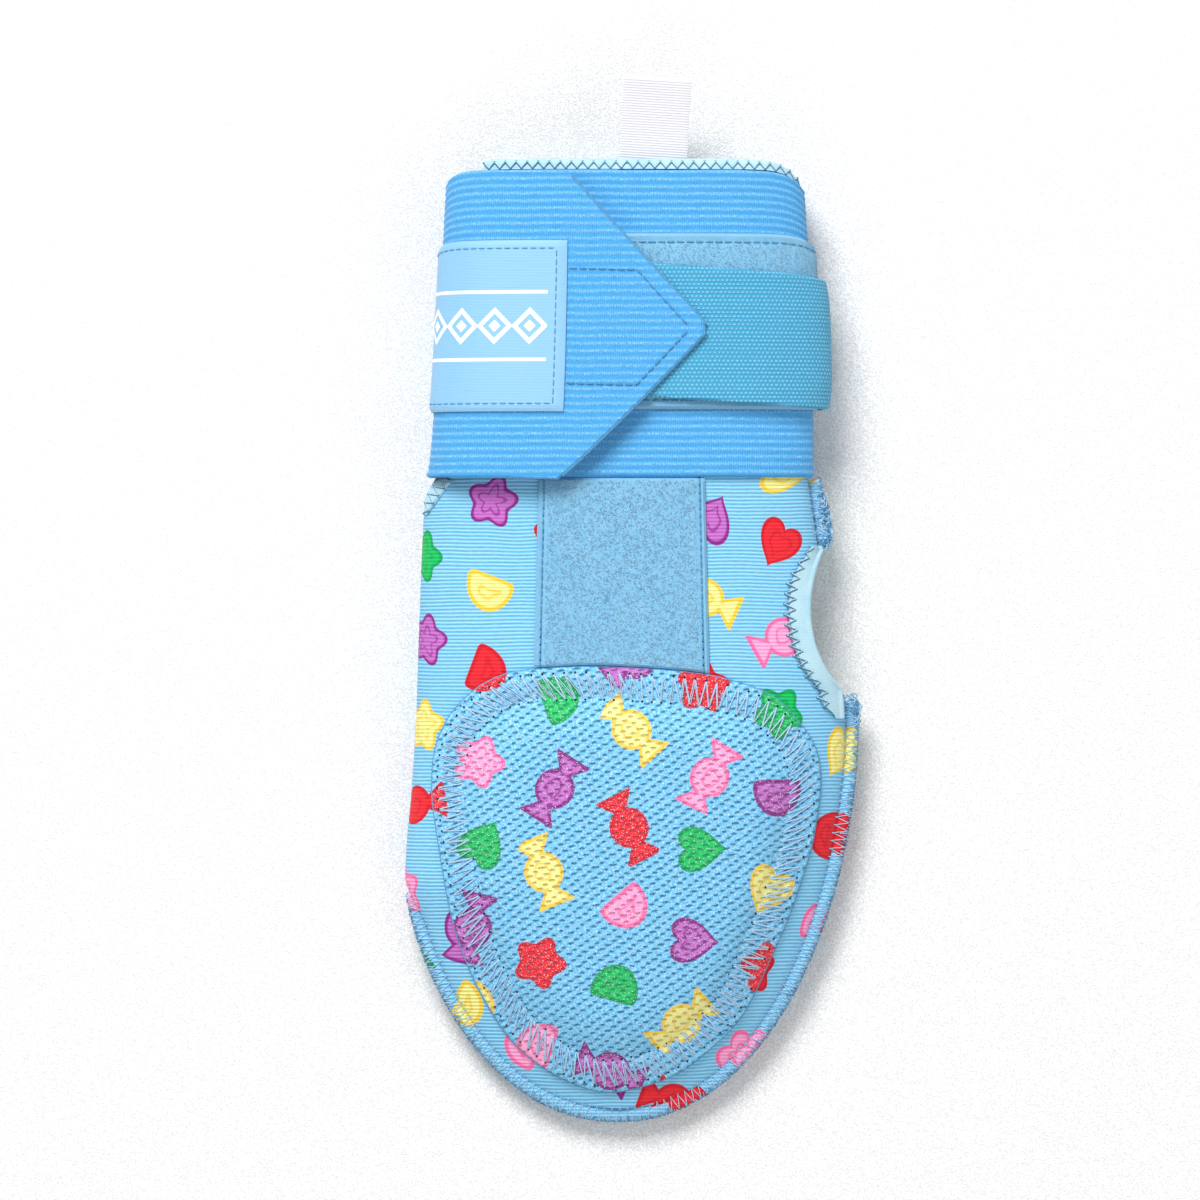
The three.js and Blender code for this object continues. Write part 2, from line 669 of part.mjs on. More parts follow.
// Hem on the back of the thumb opening: a leaf on the panel and a lip over its cut edge. Its toe end runs
// on inside the seam bead, where the lip fades out.
function thumbHemGeometry() {
  const tail = evenSteps(thumbHoleFrom - thumbHemTail, thumbHoleFrom, 3).slice(0, -1);
  const places = [...tail, ...thumbHolePlaces.slice(0, -1)];
  const leaf = [1, 0.5, 0];
  const leastAt = (along) =>
    along < (thumbHoleFrom + thumbHoleTo) / 2 ? seamWidth + clearance : seamWidth - hemThickness - clearance;
  const grid = (thickness) =>
    places.map((along) => {
      const hole = along > thumbHoleFrom ? thumbHoleCut(along) : 0;
      const least = leastAt(along);
      const cut = Math.max(least, hole);
      const end = smooth(mix(thumbHoleFrom, thumbHoleTo, thumbHemNarrowFrom), thumbHoleTo, along);
      const width = thumbHemWidth * (1 - thumbHemNarrowing * end);
      const onPanel = leaf.map((share) => {
        const inset = cut + hemThickness + clearance + share * width;
        return backPoint(edgeX("right", along, 0, inset), along, hemGap + thickness);
      });
      const edge = backPoint(edgeX("right", along, 0, cut + hemThickness + clearance), along, 0);
      const drop = neoprene * smooth(least, least + neoprene, hole);
      const lipX = edgeX("right", along, 0, cut + hemThickness - thickness);
      onPanel[onPanel.length - 1].x = lipX;
      return [...onPanel, new THREE.Vector3(lipX, along, edge.z + hemGap - hemLip - drop)];
    });
  return sheet(grid(0), grid(hemThickness));
}

// Overlocked seam edge: a flat bead against the shell's edge, along [x, along] points in order.
function seamBead(path, inwardAt) {
  const curve = new THREE.CatmullRomCurve3(path, false, "centripetal");
  const steps = Math.ceil(curve.getLength() / seamStep);
  const height = seamHalfHeight + seamBeadStand;
  const rings = curve.getSpacedPoints(steps).map((point, i) => {
    const tangent = curve.getTangentAt(i / steps);
    const outward = new THREE.Vector3(tangent.y, -tangent.x, 0).normalize();
    const inward = inwardAt(point);
    const width = (seamWidth - clearance) * inward;
    const seam = section(point.y, 0).seam;
    return beadProfile.map(({ out, up }) => {
      const reach = clearance - seamWidth * inward + out * width;
      return point.clone().addScaledVector(outward, reach).setZ(seam + up * height);
    });
  });
  return loft(rings);
}

// The mitt's outer edge from a place on the fold side round the toe to a place on the thumb side.
function toeEdgePath(foldAlong, thumbAlong) {
  const side = (name, to, count) =>
    evenSteps(0, 1, count)
      .slice(1)
      .map((share) => to * share ** 2)
      .map((along) => new THREE.Vector3(edgeX(name, along, 0, 0), along, 0));
  const tip = new THREE.Vector3(toe.tipX * halfWidth, 0, 0);
  const foldSide = side("left", foldAlong, foldEdgeSteps).reverse();
  return [...foldSide, tip, ...side("right", thumbAlong, thumbEdgeSteps)];
}

function handSeamGeometry() {
  const foldAlong = toe.left.length * mittLength - seamThinnest * seamTaper;
  const path = toeEdgePath(foldAlong, thumbHoleFrom + 1);
  const inwardAt = (point) =>
    point.x > 0 ? 1 : Math.max(seamThinnest, seamInset("left", point.y) / seamWidth);
  return seamBead(path, inwardAt);
}

function wristSeamGeometry() {
  const from = thumbHoleTo - clearance;
  const path = evenSteps(from, bandBottom - clearance, 5).map(
    (along) => new THREE.Vector3(edgeX("right", along, 0, 0), along, 0),
  );
  return seamBead(path, () => 1);
}

// A ribbon folded in two, sewn inside the wrist under the back of the hand.
function pullTabGeometry() {
  const length = tabSewnLength + wristHemLength + tabReach;
  const outer = ribbonThickness + tabGap / 2;
  const inner = tabGap / 2;
  const profile = new THREE.Shape();
  profile.moveTo(0, -outer);
  profile.lineTo(length - outer, -outer);
  profile.absarc(length - outer, 0, outer, -Math.PI / 2, Math.PI / 2, false);
  profile.lineTo(0, outer);
  profile.lineTo(0, inner);
  profile.lineTo(length - outer, inner);
  profile.absarc(length - outer, 0, inner, Math.PI / 2, -Math.PI / 2, true);
  profile.lineTo(0, -inner);
  profile.closePath();
  const settings = { depth: tabWidth, bevelEnabled: false, curveSegments: 6 };
  const ribbon = new THREE.ExtrudeGeometry(profile, settings);
  return ribbon.translate(0, 0, -tabWidth / 2).rotateX(Math.PI / 2).rotateZ(Math.PI / 2);
}

// Materials and the assembly

const finishes = {
  print: { color: 0x7cc6ea, roughness: 0.8 },
  band: { color: 0x63b2f0, roughness: 0.75 },
  teal: { color: 0x5fb0d0, roughness: 0.75 },
  loop: { color: 0x85c0e2, roughness: 0.95 },
  lining: { color: 0xa9d6e4, roughness: 0.85 },
  label: { color: 0x96d4fa, roughness: 0.5 },
  ribbon: { color: 0xedecf0, roughness: 0.7 },
};

const mitt = new THREE.Group();

function addPiece(name, geometry, finish) {
  const material = new THREE.MeshStandardMaterial({ ...finishes[finish], metalness: 0 });
  geometry.computeVertexNormals();
  const mesh = new THREE.Mesh(geometry, material);
  mesh.name = name;
  mitt.add(mesh);
  return mesh;
}

addPiece("shell", shellGeometry(), "print");
addPiece("seam_edging_hand", handSeamGeometry(), "print");
addPiece("seam_edging_wrist", wristSeamGeometry(), "print");
addPiece("thumb_hem", thumbHemGeometry(), "lining");
addPiece("wrist_hem", wristHemGeometry(), "lining");
addPiece("back_pad", backPadGeometry(), "print");
addPiece("hand_loop_patch", handLoopPatchGeometry(), "loop");
addPiece("wrist_band", wristBandGeometry(), "band");
addPiece("band_loop_tape", bandLoopTapeGeometry(), "loop");
addPiece("cinch_strap", cinchStrapGeometry(), "teal");
addPiece("label_patch", labelGeometry(), "label");

const pullTab = addPiece("pull_tab", pullTabGeometry(), "ribbon");
const tabHalf = ribbonThickness + tabGap / 2;
const insideWrist = section(mittLength, -neoprene - wristHemStand);
const tabCeiling = sectionPoint(insideWrist, Math.PI / 2, mittLength).z;
const tabStart = mittLength - wristHemLength - tabSewnLength;
pullTab.position.set(tabCentreX, tabStart, tabCeiling - clearance - tabHalf);
pullTab.rotation.z = -radians(tabLean);

// The origin goes under the middle of the overall box.
const box = new THREE.Box3().setFromObject(mitt, true);
const part = new THREE.Group();
mitt.position.set(-(box.min.x + box.max.x) / 2, -(box.min.y + box.max.y) / 2, -box.min.z);
part.add(mitt);

export default part;
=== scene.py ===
"""Looks of a baseball sliding mitt that lies palm down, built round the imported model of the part.

Sizes are in millimetres on the mitt's own axes: x towards the thumb side, along from the toe to the wrist and
z up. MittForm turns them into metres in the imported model's frame.
"""

from __future__ import annotations

import logging
import math
from collections.abc import Callable, Iterator, Sequence
from contextlib import contextmanager
from dataclasses import dataclass, field, replace
from enum import Enum

import bmesh
import bpy
import numpy as np
from mathutils import Matrix, Vector


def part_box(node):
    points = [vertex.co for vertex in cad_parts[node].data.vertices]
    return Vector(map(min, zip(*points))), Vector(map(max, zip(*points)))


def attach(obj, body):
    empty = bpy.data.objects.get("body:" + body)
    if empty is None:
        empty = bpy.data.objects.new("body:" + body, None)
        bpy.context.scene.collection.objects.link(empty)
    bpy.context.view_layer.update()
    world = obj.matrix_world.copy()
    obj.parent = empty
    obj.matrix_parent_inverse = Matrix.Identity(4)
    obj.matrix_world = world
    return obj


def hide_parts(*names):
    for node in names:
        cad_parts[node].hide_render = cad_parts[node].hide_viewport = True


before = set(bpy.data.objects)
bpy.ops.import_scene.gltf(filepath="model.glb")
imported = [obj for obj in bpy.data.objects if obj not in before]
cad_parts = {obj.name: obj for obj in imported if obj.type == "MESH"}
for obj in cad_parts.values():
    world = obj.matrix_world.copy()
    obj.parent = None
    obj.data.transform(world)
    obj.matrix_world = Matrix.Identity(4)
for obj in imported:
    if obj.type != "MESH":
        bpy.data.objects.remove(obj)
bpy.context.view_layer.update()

LOG = logging.getLogger("sliding_mitt")
MM = 0.001
TURN = 2 * math.pi
FIBRE_RADIUS = 0.055
SHARP = math.radians(50)
PHOTO_PIXELS = 1200
MM_PER_PIXEL = 0.28

Array = np.ndarray
Profile = Callable[[Array], Array]
Colour = tuple[float, float, float, float]
Socket = bpy.types.NodeSocket
Surface = tuple[object, object | None, float]
Object = bpy.types.Object
Mesh = bpy.types.Mesh


def srgb(red: int, green: int, blue: int) -> Colour:
    """Turn an 8-bit screen colour into the linear colour that shaders use.

    Args:
        red: Red, 0 to 255.
        green: Green, 0 to 255.
        blue: Blue, 0 to 255.

    Returns:
        The linear colour with full alpha.
    """

    def linear(channel: int) -> float:
        """Turn one channel."""
        value = channel / 255
        return value / 12.92 if value <= 0.04045 else ((value + 0.055) / 1.055) ** 2.4

    return (linear(red), linear(green), linear(blue), 1.0)


def ease(low: float, high: float, value: Array | float) -> Array:
    """Rise smoothly from 0 at low to 1 at high."""
    share = np.clip((np.asarray(value, float) - low) / (high - low), 0, 1)
    return share * share * (3 - 2 * share)


def blend(low: Array | float, high: Array | float, share: Array | float) -> Array:
    """Mix two values by a share."""
    return low + (high - low) * share


def stack(*parts: Array) -> Array:
    """Join arrays along a new last axis."""
    return np.stack(parts, axis=-1)


def run_along(line: Array) -> Array:
    """Give the distance along a line of points at each of them."""
    return np.concatenate([[0], np.cumsum(np.linalg.norm(np.diff(line, axis=0), axis=1))])


def run_across(grid: Array) -> Array:
    """Give the distance along each row of a grid of points."""
    steps = np.linalg.norm(np.diff(grid, axis=1), axis=2)
    return np.concatenate([np.zeros((len(grid), 1)), np.cumsum(steps, axis=1)], axis=1)


def read_line(places: Array, run: Array, line: Array) -> Array:
    """Read a line of points at places along its run."""
    return stack(*(np.interp(places, run, column) for column in line.T))


def side_normals(tangent: Array) -> Array:
    """Turn flat tangents into unit normals on their right."""
    tangent = tangent / np.linalg.norm(tangent, axis=1)[:, None]
    return stack(tangent[:, 1], -tangent[:, 0])


def table(columns: str, *rows: Sequence[float]) -> tuple[dict[str, float], ...]:
    """Name the columns of a table's rows."""
    return tuple(dict(zip(columns.split(), row)) for row in rows)


def table_columns(rows: Sequence[dict[str, float]], at: Array) -> dict[str, Array]:
    """Read a table's columns at given places, along curves that never overshoot its rows.

    Args:
        rows: Rows with an "at" column and others.
        at: Where to read.

    Returns:
        Each column's values at those places.
    """
    places = np.array([row["at"] for row in rows])
    inside = np.clip(np.asarray(at, float), places[0], places[-1])
    index = np.clip(np.searchsorted(places, inside, side="right") - 1, 0, len(places) - 2)
    span = np.diff(places)
    found = {}
    share = (inside - places[index]) / span[index]
    for name in rows[0]:
        values = np.array([row[name] for row in rows])
        slope = np.diff(values) / span
        before, after = slope[:-1], slope[1:]
        product = before * after
        total = np.where(before + after == 0, 1, before + after)
        middle = np.where(product <= 0, 0, 2 * product / total)
        tangent = np.concatenate([slope[:1], middle, slope[-1:]])
        rest = 1 - share
        rise = (1 + 2 * share) * rest**2 * values[index] + share**2 * (3 - 2 * share) * values[index + 1]
        lean = share * rest**2 * tangent[index] - share**2 * rest * tangent[index + 1]
        found[name] = rise + lean * span[index]
    return found


class Side(Enum):
    """The two sides of the mitt, seen from the back of the hand."""

    FOLD = "left"
    THUMB = "right"


@dataclass(frozen=True)
class ToeCurve:
    """One half of the toe's outline, as shares of the mitt's length and of half its width."""

    length: float
    x: float
    rise: float
    bulge: float


@dataclass
class MittForm:
    """The neoprene shell's form, on which every other piece lies."""

    length: float = 270.0
    width: float = 128.0
    height: float = 30.0
    wrist_height: float = 26.0
    wall: float = 3.0
    seam_width: float = 3.6
    seam_half_height: float = 2.4
    seam_taper: float = 12.0
    toe_welt: float = 8.0
    clearance: float = 0.3
    hem_thickness: float = 1.2
    hem_length: float = 3.0
    band_width: float = 85.7
    band_thickness: float = 1.6
    tape_thickness: float = 2.0
    strap_thickness: float = 1.8
    thumb_from: float = 119.0
    thumb_to: float = 164.0
    thumb_depth: float = 10.2
    mouth_dip: float = 5.0
    dip_power: int = 14
    flatness: float = 1.3
    least_lip: float = 0.6
    thumb_lean: float = 0.78
    thumb_round: float = 0.9
    tip_x: float = -0.057
    toes: dict[Side, ToeCurve] = field(
        default_factory=lambda: {
            Side.FOLD: ToeCurve(0.252, -0.994, 1.49, 2.15),
            Side.THUMB: ToeCurve(0.419, 0.997, 1.9, 2.1),
        }
    )
    side_rows: tuple[dict[str, float], ...] = table(
        "at left right",
        (0.252, -0.994, 0.997), (0.295, -0.984, 0.997), (0.336, -0.967, 0.997), (0.419, -0.944, 0.997),
        (0.46, -0.938, 0.986), (0.502, -0.932, 0.962), (0.585, -0.919, 0.885), (0.61, -0.914, 0.868),
        (0.647, -0.904, 0.845), (0.68, -0.842, 0.826), (0.751, -0.815, 0.824), (0.854, -0.79, 0.812),
        (0.958, -0.77, 0.793), (1.02, -0.755, 0.775),
    )
    height_rows: tuple[dict[str, float], ...] = table(
        "at seam crown palm lift square fold thumb",
        (0.0, 0.17, 0.0, 0.09, 0, 2.1, 1.3, 1.3), (0.03, 0.18, 0.1, 0.05, 0, 2.1, 1.3, 1.3),
        (0.06, 0.2, 0.2, 0.015, 0, 2.2, 1.3, 1.3), (0.1, 0.22, 0.3, 0, 0, 2.3, 1.35, 1.3),
        (0.16, 0.26, 0.4, 0, 0, 2.4, 1.5, 1.3), (0.24, 0.3, 0.49, 0, 0, 2.5, 1.8, 1.35),
        (0.34, 0.34, 0.54, 0, 0, 2.6, 2.0, 1.5), (0.45, 0.37, 0.55, 0, 0, 2.8, 2.0, 1.9),
        (0.55, 0.4, 0.52, 0, 0, 3.0, 2.0, 2.2), (0.64, 0.46, 0.455, 0, 0.45, 3.0, 2.0, 2.2),
        (0.7, 0, 0, 0, 1, 3.0, 2.0, 2.0),
    )

    def __post_init__(self) -> None:
        """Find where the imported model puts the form's own origin."""
        self.half_width = self.width / 2
        self.wrist_end = self.length - self.hem_length - self.clearance
        self.band_top = self.wrist_end
        self.band_bottom = self.band_top - self.band_width
        self.band_middle = (self.band_top + self.band_bottom) / 2
        self.tape_offset = self.clearance + self.band_thickness + self.clearance
        self.strap_offset = self.tape_offset + self.tape_thickness + self.clearance
        self.overlap_offset = self.strap_offset + self.strap_thickness + self.clearance
        self.wrist_lift = self.tape_offset + self.strap_thickness
        toe_end = self.toes[Side.FOLD].x * self.half_width
        left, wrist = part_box("shell")[0][0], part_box("wrist_hem")[1][1]
        self.shift = np.array([left - toe_end * MM, wrist - self.length * MM, 0])

    def place(self, points: Array) -> Array:
        """Turn the form's millimetres into the frame's metres."""
        return np.asarray(points) * MM + self.shift

    def edge_x(
        self, side: Side, along: Array, toe_inset: Array | float = 0, side_inset: Array | float = 0
    ) -> Array:
        """Give the outline's x on one side.

        Args:
            side: Which side.
            along: Places along the mitt.
            toe_inset: How far the outline is drawn in at the toe.
            side_inset: How far it is drawn in at the side.

        Returns:
            The x at each place.
        """
        curve = self.toes[side]
        sign = -1 if side is Side.FOLD else 1
        end = curve.length * self.length
        along = np.asarray(along, float)
        straight = table_columns(self.side_rows, along / self.length)[side.value] * self.half_width
        share = np.clip((along - toe_inset) / (end - toe_inset), 0, 1)
        reach = curve.x * self.half_width - sign * side_inset - self.tip_x * self.half_width
        rounded = self.tip_x * self.half_width + reach * (1 - (1 - share) ** curve.rise) ** (1 / curve.bulge)
        return np.where(along >= end, straight - sign * side_inset, rounded)

    def seam_inset(self, side: Side, along: Array) -> Array:
        """Give the width that the seam takes off the shell on one side."""
        if side is Side.THUMB:
            return np.full_like(np.asarray(along, float), self.seam_width)
        start = self.toes[Side.FOLD].length * self.length
        return self.seam_width * np.clip((start - np.asarray(along, float)) / self.seam_taper, 0, 1)

    def section(self, along: Array, offset: Array | float = 0) -> dict[str, Array]:
        """Give the sizes of the cross-section at each place.

        Args:
            along: Places along the mitt.
            offset: How far the section is grown outwards.

        Returns:
            The section's named sizes.
        """
        along = np.asarray(along, float)
        offset = np.asarray(offset, float)
        rows = table_columns(self.height_rows, along / self.length)
        hand = table_columns(self.height_rows[:-1], along / self.length)
        start, end = (self.height_rows[k]["at"] * self.length for k in (-2, -1))
        wrist = ease(start, end, along)
        seam = blend(hand["seam"] * self.height, self.wrist_lift + self.wrist_height / 2, wrist)
        crown = blend(hand["crown"] * self.height, self.wrist_height / 2 - self.seam_half_height, wrist)
        bottom = hand["palm"] * self.height + rows["lift"] * self.wrist_lift
        toe_inset = self.seam_width - offset + np.where(offset < 0, self.toe_welt - self.wall, 0)
        left = self.edge_x(Side.FOLD, along, toe_inset, self.seam_inset(Side.FOLD, along) - offset)
        right = self.edge_x(Side.THUMB, along, toe_inset, self.seam_inset(Side.THUMB, along) - offset)
        return {
            "left": left,
            "right": right,
            "middle": (left + right) / 2,
            "seam": seam,
            "lip": np.maximum(self.least_lip, self.seam_half_height + np.minimum(0, offset)),
            "top": seam + self.seam_half_height + crown + offset,
            "bottom": bottom - offset,
            "square": rows["square"],
            "fold": rows["fold"],
            "thumb": rows["thumb"],
        }

    def point(self, angle: Array, along: Array, offset: Array | float = 0) -> Array:
        """Give points round the form.

        Args:
            angle: Angle from the thumb side, over the back of the hand.
            along: Places along the mitt.
            offset: Distance outside the shell.

        Returns:
            Points with a last axis of x, along and z.
        """
        angle, along, offset = np.broadcast_arrays(angle, along, offset)
        s = self.section(along, offset)
        cos, sin = np.cos(angle), np.sin(angle)
        thumb = cos >= 0
        across = np.abs(cos) ** (2 / s["square"])
        rise = np.abs(sin) ** (2 / np.where(thumb, s["thumb"], s["fold"]))
        x = s["middle"] + np.where(thumb, s["right"] - s["middle"], s["left"] - s["middle"]) * across
        dip = self.mouth_dip * across**self.dip_power * ease(self.band_middle, self.length, along)
        upper = s["seam"] + s["lip"] + (s["top"] - s["seam"] - s["lip"]) * rise
        flat = np.minimum(1, self.flatness * rise)
        lower = s["seam"] - s["lip"] - (s["seam"] - s["lip"] - s["bottom"]) * flat
        return stack(x, along - dip, np.where(sin >= 0, upper, lower))

    def back_angle(self, x: float, along: float, offset: float = 0) -> float:
        """Give the angle at which the back of the form has a given x."""
        s = {name: float(value) for name, value in self.section(np.array(along), offset).items()}
        thumb = x >= s["middle"]
        reach = s["right"] - s["middle"] if thumb else s["left"] - s["middle"]
        quarter = math.acos(min(1, max(0, (x - s["middle"]) / reach)) ** (s["square"] / 2))
        return quarter if thumb else math.pi - quarter

    def back(self, x: Array, along: Array, lift: Array | float = 0) -> Array:
        """Give points on the back of the hand, raised by lift over the shell."""
        x, along, lift = np.broadcast_arrays(x, along, lift)
        s = self.section(along)
        thumb = x >= s["middle"]
        reach = np.where(thumb, s["right"] - s["middle"], s["left"] - s["middle"])
        share = np.clip(np.abs((x - s["middle"]) / reach), 0, 1)
        rise = (1 - share ** s["square"]) ** (1 / np.where(thumb, s["thumb"], s["fold"]))
        z = s["seam"] + s["lip"] + (s["top"] - s["seam"] - s["lip"]) * rise + lift
        return stack(x, along, z)

    def thumb_cut(self, along: Array) -> Array:
        """Give how far the thumb opening cuts into the thumb side."""
        span = self.thumb_to - self.thumb_from
        share = np.clip((np.asarray(along, float) - self.thumb_from) / span, 0, 1)
        return self.thumb_depth * np.sin(math.pi * share**self.thumb_lean) ** self.thumb_round

    def even_angles(self, start: float, end: float, step: float, offset: float = 0) -> Array:
        """Give angles from start to end that lie evenly round the wrist.

        Args:
            start: First angle.
            end: Last angle.
            step: Distance between neighbours.
            offset: Distance outside the shell.

        Returns:
            The angles, both ends included.
        """
        samples = 3000
        angles = np.linspace(start, end, samples)
        points = self.point(angles, self.band_middle, offset)
        run = run_along(points)
        count = max(2, round(run[-1] / step))
        return np.interp(np.linspace(0, run[-1], count + 1), run, angles)


FORM = MittForm()


# Node graphs


class Graph:
    """A short hand for building one node tree."""

    def __init__(self, tree: bpy.types.NodeTree) -> None:
        """Keep the tree that nodes are added to."""
        self.tree = tree

    def add(self, kind: str, inputs: dict | None = None, **settings: object) -> bpy.types.Node:
        """Add a node.

        Args:
            kind: Blender's name of the node type.
            inputs: Values or sockets by input name or number.
            **settings: Properties of the node.

        Returns:
            The node.
        """
        node = self.tree.nodes.new(kind)
        for name, value in settings.items():
            setattr(node, name, value)
        for name, value in (inputs or {}).items():
            self.feed(node.inputs[name], value)
        return node

    def shape(self, kind: str, inputs: dict) -> Socket:
        """Add a geometry node and give its first output."""
        return self.add("GeometryNode" + kind, inputs).outputs[0]

    def feed(self, socket: Socket, value: object) -> None:
        """Link a socket, or set its value."""
        if isinstance(value, Socket):
            self.tree.links.new(value, socket)
        else:
            socket.default_value = value

    def math(self, operation: str, *values: object, clamp: bool = False) -> Socket:
        """Add a Math node and give its result."""
        node = self.add("ShaderNodeMath", dict(enumerate(values)), operation=operation, use_clamp=clamp)
        return node.outputs[0]

    def sum(self, *values: object) -> Socket:
        """Add values up."""
        total = values[0]
        for value in values[1:]:
            total = self.math("ADD", total, value)
        return total

    def times(self, a: object, b: object) -> Socket:
        """Multiply two values."""
        return self.math("MULTIPLY", a, b)

    def less(self, a: object, b: object) -> Socket:
        """Subtract b from a."""
        return self.math("SUBTRACT", a, b)

    def remap(self, value: object, low: float, high: float, start: float = 0, end: float = 1) -> Socket:
        """Map a range smoothly onto another, held at its ends."""
        inputs = {"Value": value, "From Min": low, "From Max": high, "To Min": start, "To Max": end}
        return self.add("ShaderNodeMapRange", inputs, interpolation_type="SMOOTHSTEP").outputs[0]

    def turn(self, vector: object, angle: object) -> Socket:
        """Turn a vector in its plane."""
        inputs = {"Vector": vector, "Angle": angle}
        return self.add("ShaderNodeVectorRotate", inputs, rotation_type="Z_AXIS").outputs[0]

    def mix(self, factor: object, a: object, b: object) -> Socket:
        """Mix two colours."""
        node = self.add("ShaderNodeMix", {0: factor}, data_type="RGBA")
        self.feed(node.inputs[6], a)
        self.feed(node.inputs[7], b)
        return node.outputs[2]

    def pick(self, factor: object, a: object, b: object) -> Socket:
        """Mix two numbers."""
        node = self.add("ShaderNodeMix", {0: factor}, data_type="FLOAT")
        self.feed(node.inputs[2], a)
        self.feed(node.inputs[3], b)
        return node.outputs[0]

    def noise(self, vector: object, scale: float, detail: float = 2.0, roughness: float = 0.5) -> Socket:
        """Add a noise texture and give its value."""
        inputs = {"Vector": vector, "Scale": scale, "Detail": detail, "Roughness": roughness}
        return self.add("ShaderNodeTexNoise", inputs).outputs[0]

    def streaks(
        self, u: object, v: object, wide: float, tall: float, detail: float, rough: float = 0.5
    ) -> Socket:
        """Give noise drawn out by a scale each way."""
        return self.noise(self.join(self.times(u, wide), self.times(v, tall)), 1.0, detail, rough)

    def join(self, x: object, y: object, z: object = 0.0) -> Socket:
        """Make a vector of three numbers."""
        return self.add("ShaderNodeCombineXYZ", {0: x, 1: y, 2: z}).outputs[0]

    def parts(self, vector: object) -> list[Socket]:
        """Split a vector into its three numbers."""
        return list(self.add("ShaderNodeSeparateXYZ", {0: vector}).outputs)

    def wave(self, value: object, pitch: float, phase: float = 0.0) -> Socket:
        """Give a wave from 0 to 1 that repeats every pitch."""
        turned = self.math("MULTIPLY_ADD", value, TURN / pitch, phase)
        return self.math("MULTIPLY_ADD", self.math("SINE", turned), 0.5, 0.5)


@dataclass(frozen=True)
class Finish:
    """A cloth-like finish: its colour, roughness and soft sheen."""

    name: str
    colour: Colour
    roughness: float = 0.85
    sheen: float = 0.25
    specular: float = 0.25

    def make(self) -> bpy.types.Material:
        """Build the material, or give it if it is built.

        Returns:
            The material.
        """
        known = bpy.data.materials.get(self.name)
        if known:
            return known
        material = bpy.data.materials.new(self.name)
        material.use_nodes = True
        graph = Graph(material.node_tree)
        shader = material.node_tree.nodes["Principled BSDF"]
        gloss = {"Roughness": self.roughness, "Specular IOR Level": self.specular}
        for name, value in {**gloss, "Sheen Weight": self.sheen, "Sheen Roughness": 0.5}.items():
            shader.inputs[name].default_value = value
        colour, height, depth = self.surface(graph)
        graph.feed(shader.inputs["Base Color"], colour)
        if height is not None:
            bump = graph.add("ShaderNodeBump", {"Height": height, "Distance": depth * MM, "Strength": 1.0})
            graph.feed(shader.inputs["Normal"], bump.outputs[0])
        return material

    def cloth(self, graph: Graph) -> tuple[Socket, Socket, Socket]:
        """Give the piece's own flat coordinates in millimetres, together and one by one."""
        uv = graph.add("ShaderNodeUVMap", uv_map="cloth").outputs[0]
        return uv, *graph.parts(uv)[:2]

    def surface(self, graph: Graph) -> Surface:
        """Build the finish's colour and relief.

        Args:
            graph: The material's graph.

        Returns:
            The colour, the relief from 0 to 1 or None, and the relief's depth in millimetres.
        """
        flat = graph.add("ShaderNodeTexCoord").outputs["Object"]
        speckle = graph.remap(graph.noise(flat, 2500, 2), 0.3, 0.7, 0.0, 1.0)
        dark = tuple(channel * 0.72 for channel in self.colour[:3]) + (1.0,)
        return graph.mix(speckle, dark, self.colour), speckle, 0.1


class Motif(Enum):
    """The sweets in the print."""

    HEART = 0
    STAR = 1
    WRAPPED = 2
    GUMDROP = 3


@dataclass(frozen=True)
class PrintSettings:
    """How the sweets are laid out: in turned rows, each moved along a little."""

    pitch: float = 22.0
    size: float = 8.2
    turn: float = 0.42
    shift: float = 0.37
    jitter: float = 4.2
    fills: tuple[tuple[int, int, int], ...] = (
        (236, 40, 52), (20, 192, 96), (238, 236, 150), (253, 168, 212), (196, 112, 198),
    )
    rims: tuple[tuple[int, int, int], ...] = (
        (205, 24, 40), (0, 160, 82), (240, 200, 60), (246, 108, 164), (140, 40, 132),
    )


